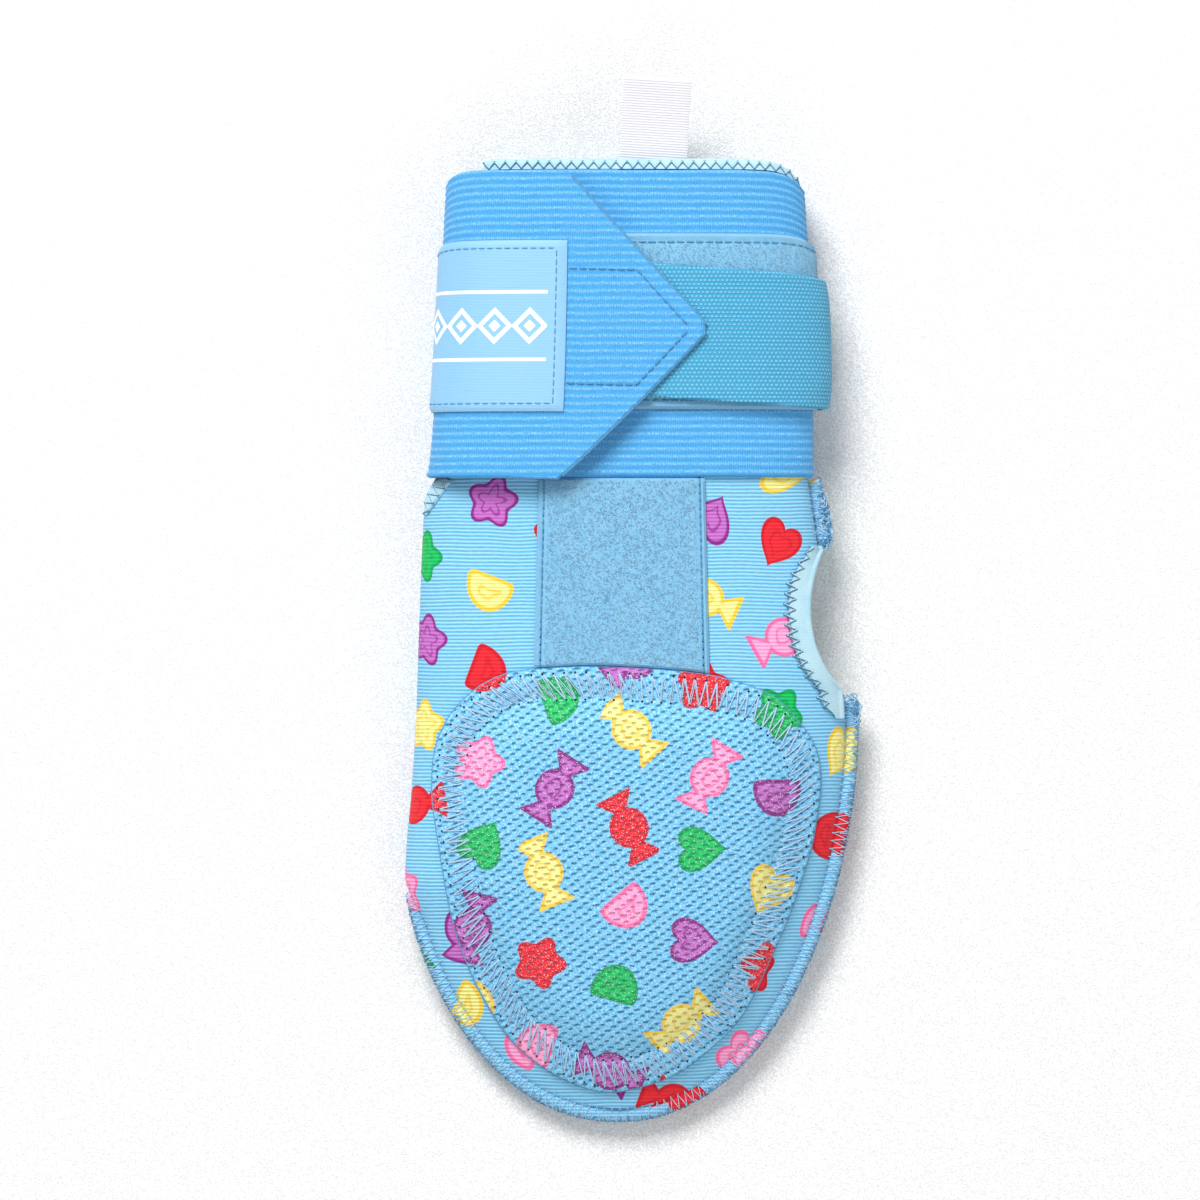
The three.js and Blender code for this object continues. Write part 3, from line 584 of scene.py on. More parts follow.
@dataclass(frozen=True)
class PrintedFinish(Finish):
    """A finish that carries the print of sweets."""

    layout: PrintSettings = PrintSettings()

    def sweets(self, graph: Graph, uv: object, ground: object, shade: object) -> object:
        """Lay the print over a ground colour.

        Args:
            graph: The material's graph.
            uv: Flat coordinates in millimetres.
            ground: Colour between the sweets.
            shade: A number from 0 to 1 of painted shade in the weave's hollows, which darkens the print
                there.

        Returns:
            The printed colour.
        """
        lay = self.layout
        x, y, _ = graph.parts(graph.turn(uv, lay.turn))
        row = graph.math("FLOOR", graph.times(y, 1 / lay.pitch))
        slid = graph.math("MULTIPLY_ADD", row, lay.shift * lay.pitch, x)
        column = graph.math("FLOOR", graph.times(slid, 1 / lay.pitch))
        cell = {"Vector": graph.join(column, row)}
        other = {"Vector": graph.join(column, row, 7.3)}
        random = graph.add("ShaderNodeTexWhiteNoise", cell, noise_dimensions="2D").outputs["Color"]
        choice = graph.add("ShaderNodeTexWhiteNoise", other, noise_dimensions="3D").outputs["Color"]
        r1, r2, r3 = graph.parts(random)

        def centred(value: object, index: object, random: object) -> object:
            """Give a place in its cell, from the sweet's middle."""
            middle = graph.times(graph.sum(index, 0.5), lay.pitch)
            moved = graph.math("MULTIPLY_ADD", graph.less(random, 0.5), lay.jitter, middle)
            return graph.times(graph.less(value, moved), 1 / lay.size)

        local = graph.join(centred(slid, column, r1), centred(y, row, r2))
        spun = graph.turn(local, graph.times(r3, TURN))
        px, py, _ = graph.parts(spun)
        distance = self.shape(graph, px, py, graph.parts(choice)[0])
        kind = graph.math("FLOOR", graph.math("MODULO", graph.sum(column, graph.times(row, 2), 500.0), 5.0))
        fill, rim = (srgb(*colours[0]) for colours in (lay.fills, lay.rims))
        for number, (inner, outer) in enumerate(zip(lay.fills[1:], lay.rims[1:])):
            chosen = graph.math("GREATER_THAN", kind, number + 0.5)
            fill = graph.mix(chosen, fill, srgb(*inner))
            rim = graph.mix(chosen, rim, srgb(*outer))
        wobble = graph.noise(spun, 1.6, 1)
        inner = graph.math("ABSOLUTE", graph.sum(distance, 0.42, graph.times(graph.less(wobble, 0.5), 0.5)))
        body = graph.mix(graph.remap(inner, 0.02, 0.075, 0.75, 0.0), fill, rim)
        edge = graph.remap(distance, -0.17, -0.09)
        body = graph.mix(edge, body, rim)
        # Painted shade: in the weave's hollows the print darkens towards its rim colour.
        body = graph.mix(graph.times(shade, 0.3), body, rim)
        inside = graph.remap(distance, -0.02, 0.02, 1.0, 0.0)
        return graph.mix(inside, ground, body)

    def shape(self, graph: Graph, x: object, y: object, random: object) -> object:
        """Give a signed distance to one of four sweets.

        Args:
            graph: The material's graph.
            x: Place across the sweet.
            y: Place along it.
            random: A number from 0 to 1 that picks the sweet.

        Returns:
            About the distance from the sweet's edge, negative inside.
        """
        side = graph.math("ABSOLUTE", x)

        def length(a: object, b: object) -> object:
            """Give a vector's length."""
            return graph.math("SQRT", graph.sum(graph.times(a, a), graph.times(b, b)))

        lobe = graph.times(graph.math("SQRT", graph.sum(side, 0.02)), -0.75)
        heart = graph.less(length(x, graph.sum(graph.times(y, 1.1), 0.28, lobe)), 0.78)
        angle = graph.math("ARCTAN2", y, x)
        points = graph.times(graph.math("SINE", graph.times(angle, 5.0)), 0.13)
        star = graph.less(length(x, y), graph.sum(points, 0.8))
        fan = graph.less(graph.math("ABSOLUTE", y), graph.math("MULTIPLY_ADD", side, 0.8, -0.28))
        fan = graph.math("SMOOTH_MAX", fan, graph.less(side, 1.22), 0.16)
        wrapped = graph.math("SMOOTH_MIN", graph.less(length(x, graph.times(y, 1.05)), 0.7), fan, 0.08)
        dome = graph.less(length(x, graph.math("MULTIPLY_ADD", y, 0.8, 0.3)), 0.82)
        gumdrop = graph.math("SMOOTH_MAX", dome, graph.math("MULTIPLY_ADD", y, -1.0, -0.62), 0.3)
        choice = graph.times(random, 4.0)
        picked = heart
        for motif, sweet in ((Motif.STAR, star), (Motif.WRAPPED, wrapped), (Motif.GUMDROP, gumdrop)):
            picked = graph.pick(graph.math("GREATER_THAN", choice, float(motif.value)), picked, sweet)
        return picked


@dataclass(frozen=True)
class JerseyFinish(PrintedFinish):
    """Printed jersey over neoprene, with fine ribs across the hand."""

    # The colour of the painted highlights on the rib crests.
    pale: Colour = srgb(152, 210, 242)
    rib_pitch: float = 1.02

    def surface(self, graph: Graph) -> Surface:
        """Build the jersey's ribs and print, with painted highlights on the rib crests and painted shade
        between them.
        """
        uv, u, v = self.cloth(graph)
        drift = graph.times(graph.noise(uv, 0.05, 1), 1.2)
        rib = graph.wave(graph.sum(v, drift), self.rib_pitch)
        yarn = graph.streaks(u, v, 0.55, 2.4, 2)
        # Painted light: the rib wave makes the crests pale and the hollows between them darker, and the yarn
        # streaks add random tone.
        tone = graph.math("MULTIPLY_ADD", graph.less(yarn, 0.5), 1.1, graph.remap(rib, 0.0, 0.62), clamp=True)
        broad = graph.noise(uv, 0.03, 2)
        ground = graph.mix(tone, self.colour, self.pale)
        ground = graph.mix(graph.remap(broad, 0.3, 0.7, 0.0, 0.16), ground, srgb(120, 192, 226))
        # Painted shade: the print is darkened where the ribs' hollows are.
        colour = self.sweets(graph, uv, ground, graph.less(1.0, tone))
        return colour, graph.sum(graph.times(rib, 0.8), graph.times(yarn, 0.4)), 0.22


@dataclass(frozen=True)
class MeshFinish(PrintedFinish):
    """Printed air mesh: a lattice of light threads round dark holes."""

    pale: Colour = srgb(188, 230, 255)
    deep: Colour = srgb(84, 174, 222)
    shadow: Colour = srgb(16, 108, 160)
    glint: Colour = srgb(226, 244, 255)
    rows: tuple[float, float] = (0.271, -0.371)
    columns: tuple[float, float] = (0.125, 0.661)
    hole: tuple[float, float] = (0.19, 0.21)

    def surface(self, graph: Graph) -> Surface:
        """Build the mesh's slanted rows of puffs, its holes with painted shadow, its print and its painted
        glints.
        """
        uv, u, v = self.cloth(graph)
        sway = graph.times(graph.less(graph.noise(uv, 0.4, 2), 0.5), 0.5)

        def cell(wave: tuple[float, float]) -> object:
            """Give a place in its row, from the row's middle."""
            place = graph.sum(graph.times(u, wave[0]), graph.times(v, wave[1]), sway)
            return graph.less(graph.math("FRACT", place), 0.5)

        across, along = cell(self.rows), cell(self.columns)
        long = graph.times(across, 1 / self.hole[0])
        short = graph.times(along, 1 / self.hole[1])
        reach = graph.math("SQRT", graph.sum(graph.times(long, long), graph.times(short, short)))
        grain = graph.noise(uv, 2.4, 3, 0.65)
        solid = graph.remap(graph.sum(reach, graph.times(graph.less(grain, 0.5), 2.4)), 0.4, 1.5)
        groove = graph.remap(graph.math("ABSOLUTE", across), 0.06, 0.3, 0.24, 0.0)
        yarn = graph.noise(uv, 1.5, 3, 0.65)
        ground = graph.mix(graph.remap(yarn, 0.36, 0.52), self.deep, self.colour)
        ground = graph.mix(graph.remap(yarn, 0.54, 0.68), ground, self.pale)
        gap = graph.remap(solid, 0.0, 0.9, 0.85, 0.0)
        ground = graph.mix(graph.math("MAXIMUM", gap, groove), ground, self.shadow)
        shade = graph.sum(graph.less(1.0, graph.remap(yarn, 0.34, 0.56)), graph.times(gap, 2.6), groove)
        colour = graph.mix(graph.times(gap, 0.22), self.sweets(graph, uv, ground, shade), self.shadow)
        # Painted glints: small near-white specks over the threads and the print, kept off the holes.
        glint_speck = graph.remap(graph.noise(uv, 2.2, 2, 0.6), 0.57, 0.68, 0.0, 0.75)
        colour = graph.mix(graph.times(glint_speck, graph.less(1.0, gap)), colour, self.glint)
        return colour, graph.sum(solid, graph.times(grain, 0.5)), 0.34


@dataclass(frozen=True)
class BandFinish(Finish):
    """Ribbed elastic: ridges with painted highlights, crossed by fine yarns, with dark grooves."""

    # The colour of the painted highlights along the ridges.
    pale: Colour = srgb(148, 203, 239)
    deep: Colour = srgb(50, 144, 214)
    rib_pitch: float = 2.09
    yarn_pitch: float = 0.62

    def surface(self, graph: Graph) -> Surface:
        """Build the elastic's ridges and yarns, with painted highlights along the ridges."""
        uv, u, v = self.cloth(graph)
        wavy = graph.times(graph.noise(graph.times(u, 0.05), 1.0, 1), 0.5)
        place = graph.math("FRACT", graph.times(graph.sum(v, wavy), 1 / self.rib_pitch))
        away = graph.math("ABSOLUTE", graph.less(place, 0.5))
        ridge = graph.remap(away, 0.02, 0.36, 1.0, 0.0)
        yarn = graph.wave(graph.sum(u, graph.times(graph.noise(uv, 0.7, 2), 0.5)), self.yarn_pitch)
        streak = graph.streaks(u, v, 0.3, 1.6, 3, 0.6)
        glint_speck = graph.streaks(u, v, 2.2, 1.4, 2, 0.6)
        base = graph.sum(graph.times(yarn, 0.34), graph.times(streak, 0.9), -0.2)
        colour = graph.mix(base, self.deep, self.colour)
        # Painted highlights: pale streaks along the ridge tops and scattered glints over the band.
        ridge_highlight = graph.times(ridge, graph.remap(glint_speck, 0.38, 0.66, 0.1, 0.72))
        glint = graph.sum(ridge_highlight, graph.remap(glint_speck, 0.6, 0.78, 0, 0.4))
        colour = graph.mix(graph.math("MINIMUM", glint, 1.0), colour, self.pale)
        relief = graph.sum(graph.times(ridge, 0.5), graph.times(yarn, 0.35), graph.times(streak, 0.3))
        return colour, relief, 0.2


@dataclass(frozen=True)
class StrapFinish(Finish):
    """Narrow woven elastic: rows of short dashes."""

    pale: Colour = srgb(150, 208, 234)
    deep: Colour = srgb(62, 154, 194)
    row_pitch: float = 1.12
    dash_pitch: float = 1.25

    def surface(self, graph: Graph) -> Surface:
        """Build the rows of dashes."""
        uv, u, v = self.cloth(graph)
        row = graph.math("FLOOR", graph.times(v, 1 / self.row_pitch))
        slide = graph.times(graph.math("MODULO", graph.math("ABSOLUTE", row), 2.0), math.pi)
        skew = graph.times(graph.streaks(u, row, 0.7, 3.1, 1), 2.6)
        turned = graph.sum(graph.times(u, TURN / self.dash_pitch), slide, skew)
        dash = graph.math("MULTIPLY_ADD", graph.math("SINE", turned), 0.5, 0.5)
        across = graph.wave(v, self.row_pitch, -math.pi / 2)
        grain = graph.streaks(u, v, 1.6, 2.2, 3, 0.6)
        thread = graph.times(dash, graph.remap(across, 0.2, 0.8))
        lit = graph.math("MULTIPLY_ADD", graph.less(grain, 0.5), 0.8, graph.times(thread, 0.85), clamp=True)
        band = graph.remap(graph.streaks(u, v, 0.004, 0.35, 1), 0.35, 0.65)
        colour = graph.mix(graph.remap(lit, 0.0, 0.4), self.deep, self.colour)
        colour = graph.mix(graph.remap(lit, 0.45, 1.0), colour, self.pale)
        colour = graph.mix(graph.times(band, 0.16), colour, self.deep)
        return colour, graph.sum(thread, graph.times(grain, 0.3)), 0.22


@dataclass(frozen=True)
class PileFinish(Finish):
    """The ground of a loop tape, under its pile."""

    pale: Colour = srgb(170, 214, 242)
    deep: Colour = srgb(118, 184, 222)

    def surface(self, graph: Graph) -> Surface:
        """Build the felted ground."""
        uv = self.cloth(graph)[0]
        fine = graph.noise(uv, 2.6, 4, 0.65)
        patch = graph.noise(uv, 0.12, 3, 0.55)
        lit = graph.sum(graph.times(fine, 0.8), graph.times(patch, 0.25))
        colour = graph.mix(graph.remap(lit, 0.32, 0.52), self.deep, self.colour)
        colour = graph.mix(graph.remap(lit, 0.55, 0.78), colour, self.pale)
        return colour, fine, 0.35


@dataclass(frozen=True)
class LiningFinish(Finish):
    """Smooth jersey lining."""

    deep: Colour = srgb(150, 202, 222)

    def surface(self, graph: Graph) -> Surface:
        """Build the lining's fine knit."""
        uv, u, v = self.cloth(graph)
        knit = graph.times(graph.wave(u, 0.5), graph.wave(v, 0.62))
        cloud = graph.noise(uv, 0.12, 3)
        tone = graph.sum(graph.times(knit, 0.3), graph.remap(cloud, 0.3, 0.7, 0.25, 0.8))
        return graph.mix(tone, self.deep, self.colour), knit, 0.08


@dataclass(frozen=True)
class LabelFinish(Finish):
    """Satin label with a plain woven ornament: a row of diamonds between two lines."""

    width: float = 47.6
    length: float = 62.0
    pitch: float = 11.0
    white: Colour = srgb(250, 252, 255)
    deep: Colour = srgb(126, 184, 224)

    def surface(self, graph: Graph) -> Surface:
        """Build the satin and its ornament."""
        uv, u, v = self.cloth(graph)
        weft = graph.wave(v, 0.42)
        streak = graph.streaks(u, v, 0.1, 2.6, 2)
        satin = graph.mix(graph.sum(graph.times(weft, 0.3), graph.times(streak, 0.6)), self.deep, self.colour)
        middle = graph.less(v, self.width / 2)
        away = graph.math("ABSOLUTE", middle)
        whole = max(1, round((self.length - 10.0) / self.pitch))
        pitch = (self.length - 10.0) / whole
        along = graph.sum(u, -5.0)
        fold = graph.math("ABSOLUTE", graph.less(graph.math("FRACT", graph.times(along, 1 / pitch)), 0.5))
        reach = graph.sum(graph.times(fold, pitch), away)
        diamond = graph.remap(graph.math("ABSOLUTE", graph.less(reach, 4.3)), 0.75, 0.95, 1.0, 0.0)
        core = graph.remap(reach, 1.6, 1.8, 1.0, 0.0)
        lines = graph.remap(graph.math("ABSOLUTE", graph.less(away, 9.4)), 0.4, 0.55, 1.0, 0.0)
        last = self.length - 5.0
        ends = graph.times(graph.remap(u, 5.0, 5.3), graph.remap(u, last - 0.3, last, 1.0, 0.0))
        ink = graph.times(graph.math("MAXIMUM", graph.math("MAXIMUM", diamond, core), lines), ends)
        colour = graph.mix(ink, satin, self.white)
        return colour, graph.sum(graph.times(weft, 0.5), graph.times(ink, 0.6)), 0.07


@dataclass(frozen=True)
class RibbonFinish(Finish):
    """Grosgrain: fine ribs across a ribbon."""

    deep: Colour = srgb(206, 205, 212)
    rib_pitch: float = 0.72

    def surface(self, graph: Graph) -> Surface:
        """Build the ribbon's ribs."""
        uv, u, v = self.cloth(graph)
        rib = graph.wave(v, self.rib_pitch)
        yarn = graph.streaks(u, v, 2.2, 1.0, 2)
        tone = graph.math("MULTIPLY_ADD", graph.less(yarn, 0.5), 0.5, rib, clamp=True)
        return graph.mix(tone, self.deep, self.colour), rib, 0.12


JERSEY = JerseyFinish("printed_jersey", srgb(88, 172, 214), 0.85, 0.1)
AIR_MESH = MeshFinish("printed_air_mesh", srgb(124, 200, 240), 0.75, 0.1, 0.35)
BAND = BandFinish("ribbed_elastic", srgb(92, 178, 226), 0.75, 0.1)
STRAP = StrapFinish("woven_elastic", srgb(100, 182, 218), 0.75, 0.1)
PILE = PileFinish("loop_ground", srgb(130, 190, 224), 0.95, 0.2)
LINING = LiningFinish("lining_jersey", srgb(190, 222, 234), 0.9, 0.1)
LABEL = LabelFinish("woven_satin", srgb(150, 198, 232), 0.5, 0.05, 0.4)
RIBBON = RibbonFinish("grosgrain", srgb(226, 225, 230), 0.75, 0.1)
PALE_THREAD = Finish("pale_thread", srgb(188, 224, 250), 0.6, 0.1, 0.4)
BLUE_THREAD = Finish("blue_thread", srgb(84, 160, 208), 0.6, 0.1, 0.4)
# Dark colour for the hem zigzags' painted shadow lines and for their needle holes.
SHADOW_AND_HOLE_DARK = Finish("painted_shadow_and_hole", srgb(72, 142, 176), 0.65, 0.1, 0.3)
LINING_THREAD = Finish("lining_thread", srgb(196, 226, 240), 0.6, 0.1, 0.4)
EDGE_THREAD = Finish("overlock_thread", srgb(132, 200, 240), 0.65, 0.1, 0.35)
# Painted glints: near-white fibre loops scattered over the loop tapes stand in for highlights on the pile.
PAINTED_GLINT_FIBRE = Finish("painted_glint_fibre", srgb(206, 232, 248), 0.6, 0.2, 0.5)
BLUE_FIBRE = Finish("blue_fibre", srgb(150, 203, 234), 0.85, 0.1, 0.25)
SEAM_THREADS = (EDGE_THREAD, BLUE_THREAD, PALE_THREAD)
NEEDLE_HOLE = Finish("needle_hole", srgb(24, 52, 78), 1.0, 0.0, 0.0)
FLOOR = Finish("studio_floor", srgb(252, 252, 252), 1.0, 0.0, 0.0)


# Meshes


def grid_faces(near: Array, follow: Array) -> Array:
    """Give the faces between two neighbouring sets of rings of point numbers."""
    return stack(near[:-1], follow[:-1], follow[1:], near[1:]).reshape(-1, 4)


def new_mesh(name: str, points: Array, faces: Sequence[Sequence[int]], flat: Array | None = None) -> Mesh:
    """Make a mesh.

    Args:
        name: Its name.
        points: Points in millimetres.
        faces: The faces' point numbers.
        flat: Flat coordinates of each face's corners in turn, or none.

    Returns:
        The mesh in the frame's metres, with its UV map where it has flat coordinates.
    """
    mesh = bpy.data.meshes.new(name)
    mesh.from_pydata(FORM.place(points.reshape(-1, 3)).tolist(), [], faces)
    if flat is not None:
        mesh.uv_layers.new(name="cloth").data.foreach_set("uv", flat.reshape(-1))
    return mesh


@dataclass
class Sheet:
    """A grid of points on a cloth's outer face, its inner face and its flat coordinates."""

    outer: Array
    inner: Array
    flat: Array

    def mesh(self, name: str, wrap: bool = False) -> Mesh:
        """Close the two faces into one mesh.

        Args:
            name: The mesh's name.
            wrap: Whether the grid's first and last rows meet.

        Returns:
            The mesh, in the frame's metres, with its flat coordinates as a UV map.
        """
        rows, columns = self.outer.shape[:2]
        count = rows * columns
        points = np.concatenate([self.outer.reshape(-1, 3), self.inner.reshape(-1, 3)])
        index = np.arange(count).reshape(rows, columns)
        follow = np.roll(index, -1, axis=0) if wrap else index[1:]
        near = index if wrap else index[:-1]
        a, b, c, d = near[:, :-1], near[:, 1:], follow[:, 1:], follow[:, :-1]
        top = stack(a, b, c, d).reshape(-1, 4)
        faces = [top, top[:, ::-1] + count]

        def rim(line: Array, flip: bool) -> None:
            """Close one side of the sheet."""
            start, end = line[:-1], line[1:]
            quads = stack(start, start + count, end + count, end)
            faces.append(quads[:, ::-1] if flip else quads)

        if not wrap:
            rim(index[0], True)
            rim(index[-1], False)
        sides = (np.concatenate([line, line[:1]]) if wrap else line for line in (index[:, 0], index[:, -1]))
        for line, flip in zip(sides, (False, True)):
            rim(line, flip)
        quads = np.concatenate(faces)
        flat = np.concatenate([self.flat.reshape(-1, 2)] * 2)
        mesh = new_mesh(name, points, quads.tolist(), flat[quads.reshape(-1)])
        mesh.polygons.foreach_set("use_smooth", [True] * len(quads))
        mesh.update()
        volume = bmesh.new()
        volume.from_mesh(mesh)
        if volume.calc_volume(signed=True) < 0:
            bmesh.ops.reverse_faces(volume, faces=volume.faces)
            volume.to_mesh(mesh)
        volume.free()
        mesh.set_sharp_from_angle(angle=SHARP)
        return mesh


def half_area(mesh: Mesh) -> float:
    """Give the area of one face of a cloth whose mesh has two, in square metres."""
    return sum(face.area for face in mesh.polygons) / 2


@contextmanager
def edited(mesh: Mesh) -> Iterator[bmesh.types.BMesh]:
    """Open a mesh for editing and write the result back."""
    body = bmesh.new()
    body.from_mesh(mesh)
    yield body
    body.to_mesh(mesh)
    body.free()


def face_outwards(mesh: Mesh) -> None:
    """Turn every face of a closed mesh outwards."""
    with edited(mesh) as body:
        bmesh.ops.recalc_face_normals(body, faces=body.faces)


def add_object(mesh: Mesh, *finishes: Finish) -> Object:
    """Put a mesh in the scene.

    Args:
        mesh: The mesh, whose name the object takes.
        *finishes: The finishes of its material slots.

    Returns:
        The object.
    """
    for finish in finishes:
        mesh.materials.append(finish.make())
    obj = bpy.data.objects.new(mesh.name, mesh)
    bpy.context.scene.collection.objects.link(obj)
    return obj


def settle(obj: Object) -> Object:
    """Turn an object's modifiers into a plain mesh.

    Args:
        obj: The object.

    Returns:
        The same object with its evaluated mesh and no modifiers.
    """
    depsgraph = bpy.context.evaluated_depsgraph_get()
    mesh = bpy.data.meshes.new_from_object(obj.evaluated_get(depsgraph), depsgraph=depsgraph)
    mesh.name = obj.name
    obj.modifiers.clear()
    obj.data = mesh
    return obj


def groove(distance: Array, depth: float, width: float) -> Array:
    """Give the depth of a soft groove by the distance from its middle."""
    return depth * np.exp(-((distance / width) ** 2))


def lumps(x: Array, along: Array) -> Array:
    """Give the low swells of a loop tape's pile."""
    return 0.12 * np.sin(x * 0.9 + 2 * np.sin(along * 0.31)) * np.sin(along * 0.77)


def rounded(distance: Array, radius: float, lowest: float = 0.25) -> Array:
    """Give a cloth edge's round: a share of the thickness by the distance from the edge."""
    share = 1 - np.clip(distance / radius, 0, 1)
    return lowest + (1 - lowest) * np.sqrt(1 - share**2)


# Geometry Nodes


class NodeTools:
    """Geometry Nodes trees that are shared by the pieces."""

    def __init__(self) -> None:
        """Build the trees."""
        self.thread_tree = self.build_thread()
        self.dot_tree = self.build_dots()
        self.pile_tree = self.build_pile()

    @staticmethod
    def tree(name: str, **inputs: str) -> tuple[Graph, bpy.types.NodeOutputs]:
        """Start a geometry tree.

        Args:
            name: The tree's name.
            **inputs: Kinds of its inputs after the geometry, by name.

        Returns:
            The graph, and its inputs' sockets.
        """
        tree = bpy.data.node_groups.new(name, "GeometryNodeTree")
        tree.interface.new_socket("Geometry", in_out="INPUT", socket_type="NodeSocketGeometry")
        for label, kind in inputs.items():
            tree.interface.new_socket(label, in_out="INPUT", socket_type="NodeSocket" + kind)
        tree.interface.new_socket("Geometry", in_out="OUTPUT", socket_type="NodeSocketGeometry")
        graph = Graph(tree)
        return graph, graph.add("NodeGroupInput").outputs

    @staticmethod
    def close(graph: Graph, given: bpy.types.NodeOutputs, shape: Socket) -> bpy.types.NodeTree:
        """End a tree with its instances made real and its material set."""
        real = graph.shape("RealizeInstances", {"Geometry": shape})
        painted = graph.shape("SetMaterial", {"Geometry": real, "Material": given["Material"]})
        graph.add("NodeGroupOutput", {0: painted})
        return graph.tree

    def build_thread(self) -> bpy.types.NodeTree:
        """Build the tree that gives mesh edges the round body of a thread."""
        graph, given = self.tree("thread_along_edges", Radius="Float", Sides="Int", Material="Material")
        curve = graph.shape("MeshToCurve", {"Mesh": given["Geometry"]})
        ring = graph.shape("CurvePrimitiveCircle", {"Resolution": given["Sides"], "Radius": given["Radius"]})
        tube = graph.shape("CurveToMesh", {"Curve": curve, "Profile Curve": ring, "Fill Caps": True})
        return self.close(graph, given, graph.shape("SetShadeSmooth", {"Geometry": tube}))

    def build_dots(self) -> bpy.types.NodeTree:
        """Build the tree that puts a small flattened bead on every point."""
        graph, given = self.tree("dots_on_points", Radius="Float", Material="Material")
        ball = graph.shape("MeshIcoSphere", {"Radius": given["Radius"], "Subdivisions": 1})
        bead = graph.shape("Transform", {"Geometry": ball, "Scale": (1.0, 1.0, 0.45)})
        dots = graph.shape("InstanceOnPoints", {"Points": given["Geometry"], "Instance": bead})
        return self.close(graph, given, dots)

    def build_pile(self) -> bpy.types.NodeTree:
        """Build the tree that covers faces with small turned loops of fibre."""
        graph, given = self.tree(
            "fibre_loops", Density="Float", Seed="Int", Loop="Float", Fibre="Float", Material="Material"
        )
        scatter = {"Mesh": given["Geometry"], "Density": given["Density"], "Seed": given["Seed"]}
        spread = graph.shape("DistributePointsOnFaces", scatter)
        loop = {"Resolution": 6, "Radius": given["Loop"], "Start Angle": -0.5, "Sweep Angle": 4.2}
        upright = {"Geometry": graph.shape("CurveArc", loop), "Rotation": (1.25, 0.0, 0.0)}
        ring = graph.shape("CurvePrimitiveCircle", {"Resolution": 3, "Radius": given["Fibre"]})
        body = {"Curve": graph.shape("Transform", upright), "Profile Curve": ring}
        lean = {"Min": (-0.7, -0.7, 0.0), "Max": (0.7, 0.7, TURN), "Seed": 5}
        turn = graph.add("FunctionNodeRandomValue", lean, data_type="FLOAT_VECTOR")
        size = graph.add("FunctionNodeRandomValue", {2: 0.55, 3: 1.35, "Seed": 9}, data_type="FLOAT")
        loops = {
            "Points": spread,
            "Instance": graph.shape("CurveToMesh", body),
            "Rotation": turn.outputs[0],
            "Scale": size.outputs[1],
        }
        return self.close(graph, given, graph.shape("InstanceOnPoints", loops))

    @staticmethod
    def run(obj: Object, tree: bpy.types.NodeTree, **values: object) -> Object:
        """Run a tree on an object and keep its result.

        Args:
            obj: The object that holds the starting mesh.
            tree: The tree.
            **values: Its inputs by name.

        Returns:
            The same object with the resulting mesh.
        """
        modifier = obj.modifiers.new(tree.name, "NODES")
        modifier.node_group = tree
        for item in tree.interface.items_tree:
            if item.in_out == "INPUT" and item.name in values:
                modifier[item.identifier] = values[item.name]
        return settle(obj)

    def thread(self, name: str, lines: Sequence[Array], radius: float, finish: Finish, sides: int) -> Object:
        """Make threads along lines of points.

        Args:
            name: The piece's name.
            lines: Lines of points, in millimetres.
            radius: The thread's radius, in millimetres.
            finish: Its finish.
            sides: Sides of its round.

        Returns:
            The piece.
        """
        points: list[Array] = []
        edges: list[tuple[int, int]] = []
        for line in lines:
            start = len(points)
            points.extend(FORM.place(line))
            edges.extend((start + k, start + k + 1) for k in range(len(line) - 1))
        mesh = bpy.data.meshes.new(name)
        mesh.from_pydata([tuple(point) for point in points], edges, [])
        inputs = {"Radius": radius * MM, "Sides": sides, "Material": finish.make()}
        return self.run(add_object(mesh), self.thread_tree, **inputs)

    def dots(self, name: str, places: Array, radius: float, finish: Finish) -> Object:
        """Put small flattened beads at places.

        Args:
            name: The piece's name.
            places: Points in millimetres.
            radius: The beads' radius, in millimetres.
            finish: Their finish.

        Returns:
            The piece.
        """
        mesh = new_mesh(name, places, [])
        return self.run(add_object(mesh), self.dot_tree, Radius=radius * MM, Material=finish.make())

    def pile(self, name: str, ground: Array, count: int, seed: int, finish: Finish, loop: float) -> Object:
        """Cover a grid of points with loops of fibre.

        Args:
            name: The piece's name.
            ground: Grid of points in millimetres.
            count: About how many loops.
            seed: The scatter's seed.
            finish: The fibres' finish.
            loop: A loop's radius, in millimetres.

        Returns:
            The piece.
        """
        rows, columns = ground.shape[:2]
        index = np.arange(rows * columns).reshape(rows, columns)
        quads = grid_faces(index[:, :-1], index[:, 1:])
        mesh = new_mesh(name, ground, quads.tolist())
        density = count / sum(face.area for face in mesh.polygons)
        inputs = {"Density": density, "Seed": seed, "Loop": loop * MM, "Fibre": FIBRE_RADIUS * MM}
        return self.run(add_object(mesh), self.pile_tree, Material=finish.make(), **inputs)


def stitches(path: Array, pitch: float, gap: float, sink: float = 0.12) -> list[Array]:
    """Cut a path into straight stitches whose ends dip into the cloth.

    Args:
        path: The seam's points, in millimetres.
        pitch: Distance from stitch to stitch.
        gap: Space between two stitches.
        sink: How far the ends dip.

    Returns:
        One short line of points for each stitch.
    """
    run = run_along(path)
    count = max(1, int(run[-1] / pitch))
    lines = []
    for k in range(count):
        places = (k + np.array([0.0, 0.12, 0.5, 0.88, 1.0]) * (1 - gap / pitch)) * run[-1] / count
        line = read_line(places, run, path)
        line[[0, -1], 2] -= sink * 2
        line[2, 2] += sink
        lines.append(line)
    return lines


# The pieces of the mitt


